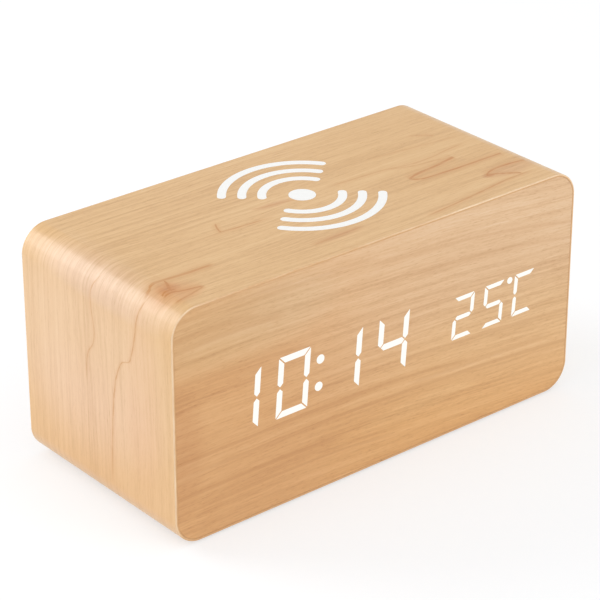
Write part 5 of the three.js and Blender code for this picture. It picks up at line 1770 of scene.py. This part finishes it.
@dataclass
class ControlPanel:
    """The plate in the rear opening with its keys, screws and inlet; what is round goes by its diameter.

    The plate's rounding starts end_reach from a round end's centre, so the screw's hole shares it.
    """

    thickness: float = 2.0
    key_hole: float = 7.1
    sound_hole: float = 1.2
    sound_ring: float = 4.4
    sound_count: int = 6
    sound_steps: int = 20
    vent: PlanePoint = (1.2, 6.0)
    vent_pitch: float = 2.4
    vent_count: int = 3
    vent_steps: int = 24
    screw_hole: float = 1.9
    screw_steps: int = 24
    boss: float = 5.0
    boss_x: float = 35.25
    boss_sink: float = 0.1
    boss_steps: int = 32
    plate_break: float = 0.5
    rim_slack: float = 0.02
    end_reach: float = 8.0
    keys: tuple[tuple[str, KeySign], ...] = (
        ("set", KeySign.DOT), ("up", KeySign.UP), ("down", KeySign.DOWN),
    )
    key: KeyShape = KeyShape()
    screw: ScrewShape = ScrewShape()
    inlet: InletShape = InletShape()
    sides: tuple[str, ...] = ("left", "right")

    def inlet_loop(self, blank: Blank, grow: float, depth: float) -> Edges:
        """Draws the inlet's outline: rounded above, with cut corners below.

        Args:
            blank: The mesh to draw in.
            grow: How far the outline stands outside the inlet's shell.
            depth: Its place along Y.

        Returns:
            The outline's edges.
        """
        box = box_mm("usb_shell")
        middle = box.middle
        scale = Matrix.Diagonal((box.size.x / 2 + grow, box.size.z / 2 + grow, 1.0, 1.0))
        verts = blank.grid(Matrix.Translation((middle.x, depth, middle.z)) @ UPRIGHT @ scale)
        below = [vert for vert in verts if vert.co.z < middle.z]
        above = [vert for vert in verts if vert.co.z > middle.z]
        blank.bevel(below, self.inlet.lower_cut, 1, "VERTICES")
        blank.bevel(above, self.inlet.upper_rounding, 3, "VERTICES")
        face = next(face for face in blank.bm.faces if len(face.verts) > 4)
        edges = list(face.edges)
        bmesh.ops.delete(blank.bm, geom=[face], context="FACES_ONLY")
        return edges

    def holes(self) -> list[Outline]:
        """Lays out the round holes and slots of the plate.

        Returns:
            Their outlines.
        """
        z = box_mm("control_plate").middle.z
        buzzer, sensor = (box_mm(node).middle.x for node in ("buzzer", "temperature_sensor"))
        found = [circle(self.key_hole, box_mm(f"{name}_button").middle.x, z) for name, _ in self.keys]
        found.append(circle(self.sound_hole, buzzer, z, self.sound_steps))
        ring = self.sound_ring / 2
        for i in range(self.sound_count):
            angle = math.tau * i / self.sound_count
            x, up = buzzer + ring * math.cos(angle), ring * math.sin(angle)
            found.append(circle(self.sound_hole, x, z + up, self.sound_steps))
        width, height = self.vent
        for i in range(self.vent_count):
            x = sensor + (i - (self.vent_count - 1) / 2) * self.vent_pitch
            found.append(Outline(width, height, width / 2, x, z, self.vent_steps))
        for side in self.sides:
            x = box_mm(f"plate_screw_{side}").middle.x
            found.append(circle(self.screw_hole, x, z, self.screw_steps))
        return found

    def build_plate(self) -> None:
        """Builds the plate with its holes and the bosses behind it."""
        box = box_mm("control_plate")
        middle, size = box.middle, box.size
        outer, inner = box.high.y, box.high.y - self.thickness
        blank = Blank()
        rim = blank.loop(stadium(size.x, size.z, middle.x, middle.z), outer)
        holes = [blank.loop(hole, outer) for hole in self.holes()]
        holes.append(self.inlet_loop(blank, self.inlet.plate_gap, outer))
        blank.thicken(blank.fill(rim, *holes), (0.0, inner - outer, 0.0))
        blank.orient()
        at_face = edge_at(outer)

        def by_rim(vert: bmesh.types.BMVert) -> bool:
            """Says whether a vertex lies by the plate's outline.

            Args:
                vert: The vertex.

            Returns:
                True on a straight side, and near a round end also at the screw's hole.
            """
            past, up = abs(vert.co.x) - (size.x - size.z) / 2, vert.co.z - middle.z
            on_side = abs(abs(up) - size.z / 2) < self.rim_slack
            return on_side or past > 0 and math.hypot(past, up) > self.end_reach

        blank.soften(
            self.plate_break, 4, lambda edge: at_face(edge) and all(by_rim(v) for v in edge.verts)
        )
        bore, wall, sunk = self.screw_hole / 2, self.boss / 2, inner + self.boss_sink
        profile = [(bore, box.low.y), (wall, box.low.y), (wall, sunk), (bore, sunk), (bore, box.low.y)]
        for side in (-1, 1):
            blank.lathe(profile, Vector((side * self.boss_x, 0.0, middle.z)), ALONG_Y, self.boss_steps)
        bmesh.ops.recalc_face_normals(blank.bm, faces=blank.bm.faces[:])
        blank.settle(Piece("control_cover", "black_plastic", (BLACK_MOULDED,), ("control_plate",)))

    def build_key(self, name: str, sign: KeySign) -> None:
        """Builds one push button.

        Args:
            name: The key's name.
            sign: What is printed on it.
        """
        node, key = f"{name}_button", self.key
        box = box_mm(node)
        low, top, flange = box.low.y, box.high.y, box.size.x / 2
        cap, under = flange - key.flange_reach, low + key.stem_height
        over = under + key.flange_height
        profile = [
            (0.0, low), (key.stem_radius, low), (key.stem_radius, under), (flange, under), (flange, over),
            (cap, over), *((cap - inwards, top - down) for inwards, down in key.edge),
            (cap * key.dish_share, top - key.dish_rim), (0.0, top - key.dish_depth),
        ]
        blank = Blank()
        blank.lathe(profile, Vector((box.middle.x, 0.0, box.middle.z)), ALONG_Y, key.steps)
        blank.orient()
        turn = Matrix.Rotation(math.pi if sign is KeySign.DOWN else 0.0, 4, "Z")
        place = Matrix.Translation((box.middle.x, top - key.sign_middle, box.middle.z))
        radius = key.dot_radius if sign is KeySign.DOT else key.arrow_radius
        before = set(blank.bm.faces)
        bmesh.ops.create_cone(
            blank.bm, cap_ends=True, segments=abs(sign.value), radius1=radius, radius2=radius,
            depth=key.sign_height, matrix=place @ UPRIGHT @ turn,
        )
        blank.paint(1, lambda face: face not in before)
        bmesh.ops.recalc_face_normals(blank.bm, faces=[f for f in blank.bm.faces if f not in before])
        finishes = (KEY_MOULDED, WHITE_PRINT)
        blank.settle(Piece(f"{name}_key_cap", "button_plastic", finishes, (node,), f"{name}_key"))

    def build_screw(self, side: str) -> None:
        """Builds one pan-head screw with a cross recess.

        Args:
            side: The side of the plate that it holds.
        """
        node, screw = f"plate_screw_{side}", self.screw
        box = box_mm(node)
        low, top, head = box.low.y, box.high.y, box.size.x / 2
        seat, shank = top - screw.head_height, screw.shank_radius
        profile = [
            (0.0, low), (shank / 2, low), (shank, low + shank), (shank, seat),
            *((head - inwards, seat + up) for inwards, up in screw.edge),
            (screw.flat_radius, top),
        ]
        blank = Blank()
        blank.lathe(profile, Vector((box.middle.x, 0.0, box.middle.z)), ALONG_Y, screw.steps)
        lip = [edge for edge in blank.bm.edges if edge.is_boundary]
        cross = self.draw_cross(blank, Vector((box.middle.x, top - screw.recess_depth, box.middle.z)))
        blank.fill(lip, blank.wall(cross, (0.0, screw.recess_depth, 0.0)))
        blank.orient()
        blank.settle(Piece(f"plate_fixing_{side}", "screw_steel", (ZINC_STEEL,), (node,)))

    def draw_cross(self, blank: Blank, centre: Vector) -> Edges:
        """Draws the floor of a cross recess.

        Args:
            blank: The mesh to draw in.
            centre: The floor's middle.

        Returns:
            The edges round the floor.
        """
        reach, half = self.screw.recess_length / 2, self.screw.recess_width / 2
        made = blank.grid(Matrix.Rotation(-math.pi / 2, 4, "X"), 3, reach)
        for vert in made:
            for axis in (0, 2):
                if abs(vert.co[axis]) < reach - MERGE_DISTANCE:
                    vert.co[axis] = math.copysign(half, vert.co[axis])
        faces = faces_of(made)
        centres = [face.calc_center_median() for face in faces]
        corners = [f for f, place in zip(faces, centres) if min(abs(place.x), abs(place.z)) > half]
        bmesh.ops.delete(blank.bm, geom=corners, context="FACES")
        floor = [face for face in faces if face.is_valid]
        verts = list(dict.fromkeys(vert for face in floor for vert in face.verts))
        bmesh.ops.translate(blank.bm, vec=centre, verts=verts)
        return [edge for edge in blank.edges_among(verts) if edge.is_boundary]

    def build_shell(self) -> None:
        """Builds the inlet's steel shell."""
        box, shape = box_mm("usb_shell"), self.inlet
        blank = Blank()
        blank.wall(self.inlet_loop(blank, 0.0, box.high.y), (0.0, box.low.y - box.high.y, 0.0))
        blank.shell(shape.wall)
        blank.orient()
        blank.soften(shape.mouth_break, 2, edge_at(box.high.y))
        blank.settle(Piece("inlet_shell", "plated_steel", (NICKEL_STEEL,), ("usb_shell",)))

    def build_tongue(self) -> None:
        """Builds the tongue inside the shell, with its contacts."""
        box, shape = box_mm("usb_insert"), self.inlet
        low, high, (x, _, z) = box.low, box.high, box.middle
        wide, tall, half = shape.tongue_half_width, shape.tongue_half_height, shape.contact_half_width
        root, start, end = low.y + shape.block_depth, low.y + shape.tongue_start, high.y - shape.contact_end
        blank = Blank()
        blank.block(low, (high.x, root, high.z))
        blank.block((x - wide, start, z - tall), (x + wide, high.y, z + tall))
        blank.soften(shape.tongue_break, 2, lambda edge: True)
        before = set(blank.bm.faces)
        for i in range(shape.contact_count):
            place = x + (i - (shape.contact_count - 1) / 2) * shape.contact_pitch
            corner = (place + half, end, z - shape.contact_over)
            blank.block((place - half, root, z - shape.contact_under), corner)
        blank.paint(1, lambda face: face not in before)
        finishes = (BLACK_MOULDED, GOLD_CONTACT)
        blank.settle(Piece("inlet_tongue", "black_plastic", finishes, ("usb_insert",)))

    def build(self) -> None:
        """Builds the plate and everything that shows in it."""
        self.build_plate()
        for name, sign in self.keys:
            self.build_key(name, sign)
        for side in self.sides:
            self.build_screw(side)
        self.build_shell()
        self.build_tongue()


@dataclass
class Feet:
    """Four thin rubber pads under the case, with a rounded edge; each reaches up to the wrap's skin."""

    edge: float = 0.2
    turn: float = 0.3
    reach: float = 0.06
    steps: int = 56
    corners: tuple[str, ...] = ("front_left", "front_right", "rear_left", "rear_right")

    def build(self) -> None:
        """Builds the pads."""
        for corner in self.corners:
            node = f"foot_pad_{corner}"
            box = box_mm(node)
            low, top, radius = box.low.z, box.high.z + self.reach, box.size.x / 2
            bend = self.edge * self.turn
            profile = [
                (0.0, low), (radius - self.edge, low), (radius - bend, low + bend),
                (radius, low + self.edge), (radius, top), (0.0, top),
            ]
            blank = Blank()
            blank.lathe(profile, Vector((box.middle.x, box.middle.y, 0.0)), ALONG_Z, self.steps)
            blank.orient()
            blank.settle(Piece(f"rubber_foot_{corner}", "foot_rubber", (FOOT_RUBBER,), (node,)))


@dataclass
class Wiring:
    """The wound coil and the leads inside the case, as round wire.

    A bend is how far from a corner of the wire its rounding starts. The coil's ends go down at the
    lead radius, lead_out degrees apart, and the inner one runs lead_drop under the turns.
    """

    turns: int = 8
    first_radius: float = 9.5
    pitch: float = 1.45
    wire: float = 1.0
    coil_bend: float = 0.7
    lead_radius: float = 24.55
    lead_drop: float = 1.6
    lead_out: float = 30.0
    lead: float = 1.2
    lead_bend: float = 4.0
    leads: tuple[tuple[str, str, Finish], ...] = (
        ("positive", "red_insulation", RED_SLEEVE), ("negative", "black_insulation", BLACK_SLEEVE),
    )
    ribbon: float = 0.8
    ribbon_cores: int = 10
    ribbon_steps: int = 30
    turn_steps: int = 40
    bend_steps: int = 6
    round_steps: int = 3

    def tube(self, points: Sequence[Vector], diameter: float, name: str) -> bpy.types.Mesh:
        """Draws a round wire.

        Args:
            points: Its route in millimetres.
            diameter: Its diameter.
            name: The mesh's name.

        Returns:
            The wire's mesh in metres.
        """
        route = bpy.data.curves.new(name, "CURVE")
        route.dimensions = "3D"
        route.bevel_depth = diameter / 2 * MM
        route.bevel_resolution = self.round_steps
        route.use_fill_caps = True
        line = route.splines.new("POLY")
        line.points.add(len(points) - 1)
        for spot, place in zip(line.points, points):
            spot.co = (*(place * MM), 1.0)
        holder = bpy.data.objects.new(name, route)
        mesh = bpy.data.meshes.new_from_object(holder)
        bpy.data.objects.remove(holder)
        bpy.data.curves.remove(route)
        return mesh

    def rounded(self, corners: Sequence[Vector], bend: float) -> list[Vector]:
        """Rounds the corners of straight runs.

        Args:
            corners: The corners, with both ends.
            bend: How far from a corner its rounding starts.

        Returns:
            The points of the route.
        """
        points = [corners[0]]
        for before, corner, after in zip(corners, corners[1:], corners[2:]):
            enter = corner + (before - corner).normalized() * bend
            leave = corner + (after - corner).normalized() * bend
            for i in range(self.bend_steps + 1):
                t = i / self.bend_steps
                points.append(enter * (1 - t) ** 2 + corner * (2 * t * (1 - t)) + leave * t**2)
        points.append(corners[-1])
        return points

    def build_coil(self) -> None:
        """Builds the charging coil from one wire."""
        box = box_mm("charging_coil")
        low, level = box.low.z, box.high.z - self.wire / 2

        def spot(radius: float, angle: float, z: float) -> Vector:
            """Gives a place round the coil's axis."""
            return Vector((radius * math.cos(angle), radius * math.sin(angle), z))

        spiral = []
        for i in range(self.turns * self.turn_steps + 1):
            turned = i / self.turn_steps
            radius = self.first_radius + turned * self.pitch
            spiral.append(spot(radius, math.pi + math.tau * turned, level))
        under = level - self.lead_drop
        inner = self.rounded([
            spot(self.lead_radius, math.pi, low), spot(self.lead_radius, math.pi, under),
            spot(self.first_radius, math.pi, under), spiral[0], spiral[2],
        ], self.coil_bend)
        out = math.pi + math.radians(self.lead_out)
        last_radius = self.first_radius + self.turns * self.pitch
        outer = self.rounded([
            spot((last_radius + self.lead_radius) / 2, (math.pi + out) / 2, level),
            spot(self.lead_radius, out, level), spot(self.lead_radius, out, low),
        ], self.coil_bend)
        piece = Piece("coil_wire", "coil_copper", (COPPER_WIRE,), ("charging_coil",), weighted=False)
        piece.settle(self.tube([*inner, *spiral[3:], *outer], self.wire, piece.name))

    def build_leads(self) -> None:
        """Builds the two power leads."""
        for pole, slot, finish in self.leads:
            node = f"power_lead_{pole}"
            box = box_mm(node)
            x, low, half = box.middle.x, box.low, self.lead / 2
            level = box.high.z - half
            points = self.rounded([
                Vector((x, box.high.y, level)), Vector((x, low.y + half, level)),
                Vector((x, low.y + half, low.z)),
            ], self.lead_bend)
            piece = Piece(f"sleeved_lead_{pole}", slot, (finish,), (node,), weighted=False)
            piece.settle(self.tube(points, self.lead, piece.name))

    def build_ribbon(self) -> None:
        """Builds the flat cable to the display as wires side by side."""
        box = box_mm("display_ribbon")
        rear = Vector((0.0, box.high.y, box.low.z + self.ribbon / 2))
        front = Vector((0.0, box.low.y, box.high.z - self.ribbon / 2))
        middle = (rear.y + front.y) / 2
        leave, arrive = Vector((0.0, middle, rear.z)), Vector((0.0, middle, front.z))
        points = []
        for i in range(self.ribbon_steps + 1):
            t = i / self.ribbon_steps
            s = 1 - t
            points.append(rear * s**3 + leave * (3 * s * s * t) + arrive * (3 * s * t * t) + front * t**3)
        core = self.tube(points, self.ribbon, "ribbon_core")
        pitch = box.size.x / self.ribbon_cores
        grow = (PER_METRE * pitch / self.ribbon, PER_METRE, PER_METRE)
        blank = Blank()
        for i in range(self.ribbon_cores):
            before = len(blank.bm.verts)
            blank.bm.from_mesh(core)
            blank.bm.verts.ensure_lookup_table()
            fresh = blank.bm.verts[before:]
            bmesh.ops.scale(blank.bm, vec=grow, verts=fresh)
            bmesh.ops.translate(blank.bm, vec=(box.low.x + (i + 0.5) * pitch, 0.0, 0.0), verts=fresh)
        bpy.data.meshes.remove(core)
        sleeve = (RIBBON_SLEEVE,)
        blank.settle(Piece("flat_cable", "ribbon_grey", sleeve, ("display_ribbon",), weighted=False))

    def build(self) -> None:
        """Builds all wiring."""
        self.build_coil()
        self.build_leads()
        self.build_ribbon()


class Interior:
    """The nodes that stay as they are inside the case."""

    @staticmethod
    def dress() -> None:
        """Gives every node that stays its slot's finish."""
        for part in frame["record"]["subparts"]:
            node = frame["nodes"][part["node"]]
            if node.hide_render:
                continue
            node.data.materials.clear()
            node.data.materials.append(SLOT_FINISHES[part["material_slot"]].material())
            LOG.info("%s dressed as %s", part["node"], part["material_slot"])


@dataclass(frozen=True)
class Lamp:
    """One soft lamp, in degrees and metres.

    Attributes:
        azimuth: Its direction round the case; 0 is in front, -90 on the left.
        level: How bright it makes a white surface that faces it.
    """

    name: str
    azimuth: float
    elevation: float
    distance: float
    width: float
    level: float


@dataclass
class Studio:
    """Floor, light and camera.

    The camera's sizes are in millimetres, the floor's and the clip's in metres. Pan is how far the aim
    lies right of and above the case's middle. The camera sees a part of the floor's shade, under white.
    """

    lens: float = 153.48
    sensor: float = 36.0
    clip: PlanePoint = (0.01, 50.0)
    azimuth: float = -39.729
    elevation: float = 26.615
    distance: float = 752.66
    pan: PlanePoint = (-1.463, 2.763)
    ambient: float = 0.67
    floor_tone: Tone = (235, 237, 240)
    floor_shade: float = 0.55
    floor_white: float = 1.29
    floor_size: float = 6.0
    lamps: tuple[Lamp, ...] = (
        Lamp("rear_left_lamp", -146.0, 30.0, 1.1, 0.67, 0.32),
        Lamp("rear_low_lamp", -134.0, 5.0, 1.1, 0.6, 0.085),
        Lamp("left_lamp", -92.0, 2.0, 1.1, 0.8, 0.22),
        Lamp("top_lamp", 20.0, 78.0, 1.2, 0.9, 0.08),
        Lamp("front_lamp", 24.0, 10.0, 1.3, 0.9, 0.36),
    )

    @staticmethod
    def towards(azimuth: float, elevation: float) -> Vector:
        """Gives the direction from the case to a lamp or the camera."""
        a, e = math.radians(azimuth), math.radians(elevation)
        return Vector((math.sin(a) * math.cos(e), -math.cos(a) * math.cos(e), math.sin(e)))

    @staticmethod
    def middle() -> Vector:
        """Gives the middle of the wrapped case, in metres."""
        low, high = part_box("wrap_veneer")
        return (low + high) / 2

    def build_camera(self) -> None:
        """Places the camera at the photograph's angle."""
        back = self.towards(self.azimuth, self.elevation)
        right = Vector((-back.y, back.x, 0.0)).normalized()
        up = back.cross(right)
        aim = self.middle() + (right * self.pan[0] + up * self.pan[1]) * MM
        data = bpy.data.cameras.new("camera")
        data.lens = self.lens
        data.sensor_width = self.sensor
        data.clip_start, data.clip_end = self.clip
        camera = add_object("camera", data)
        place = Matrix((right, up, back)).transposed().to_4x4()
        camera.matrix_world = Matrix.Translation(aim + back * self.distance * MM) @ place
        bpy.context.scene.camera = camera

    @staticmethod
    def seen(g: Graph) -> Term:
        """Tells the camera's rays from others.

        Args:
            g: The graph to draw in.

        Returns:
            1 where the camera sees a surface straight, mirrored or through glass.
        """
        rays = g.node("ShaderNodeLightPath")
        straight = rays.part("Is Camera Ray").most(rays.part("Is Glossy Ray"))
        return straight.most(rays.part("Is Transmission Ray"))

    def build_floor(self) -> None:
        """Lays the floor, which keeps the case's shadow."""
        bm = bmesh.new()
        bmesh.ops.create_grid(bm, x_segments=1, y_segments=1, size=self.floor_size / 2)
        mesh = bpy.data.meshes.new("floor")
        bm.to_mesh(mesh)
        bm.free()
        material = bpy.data.materials.new("studio_floor")
        g = Graph(material)
        shadowed = g.node("ShaderNodeBsdfDiffuse", None, {"Color": linear(self.floor_tone)})
        white = g.node("ShaderNodeEmission", None, {"Color": WHITE, "Strength": self.floor_white})
        share = self.seen(g) * (1 - self.floor_shade)
        mixed = g.node("ShaderNodeMixShader", None, {0: share, 1: shadowed, 2: white})
        g.node("ShaderNodeOutputMaterial", None, {"Surface": mixed})
        mesh.materials.append(material)
        floor = add_object("floor", mesh)

    def build_light(self) -> None:
        """Hangs the lamps and lights the room evenly."""
        world = bpy.data.worlds.new("studio")
        bpy.context.scene.world = world
        g = Graph(world)
        strength = self.seen(g).spread(self.ambient, 1.0)
        sky = g.node("ShaderNodeBackground", None, {"Color": WHITE, "Strength": strength})
        g.node("ShaderNodeOutputWorld", None, {"Surface": sky})
        for lamp in self.lamps:
            data = bpy.data.lights.new(lamp.name, "AREA")
            data.shape = "DISK"
            data.size = lamp.width
            data.energy = lamp.level * math.pi**2 * lamp.distance**2
            hung = add_object(lamp.name, data)
            way = self.towards(lamp.azimuth, lamp.elevation)
            turn = way.to_track_quat("Z", "Y").to_matrix().to_4x4()
            hung.matrix_world = Matrix.Translation(self.middle() + way * lamp.distance) @ turn

    def build(self) -> None:
        """Builds the studio."""
        self.build_camera()
        self.build_floor()
        self.build_light()
        bpy.context.scene.view_settings.view_transform = "Standard"


def main() -> None:
    """Builds and dresses the clock."""
    logging.basicConfig(level=logging.INFO, format="%(name)s: %(message)s")
    Studio().build()
    Casework().build()
    Display().build()
    ChargingMark().build()
    ControlPanel().build()
    Feet().build()
    Wiring().build()
    Interior.dress()


if __name__ == "__main__":
    main()
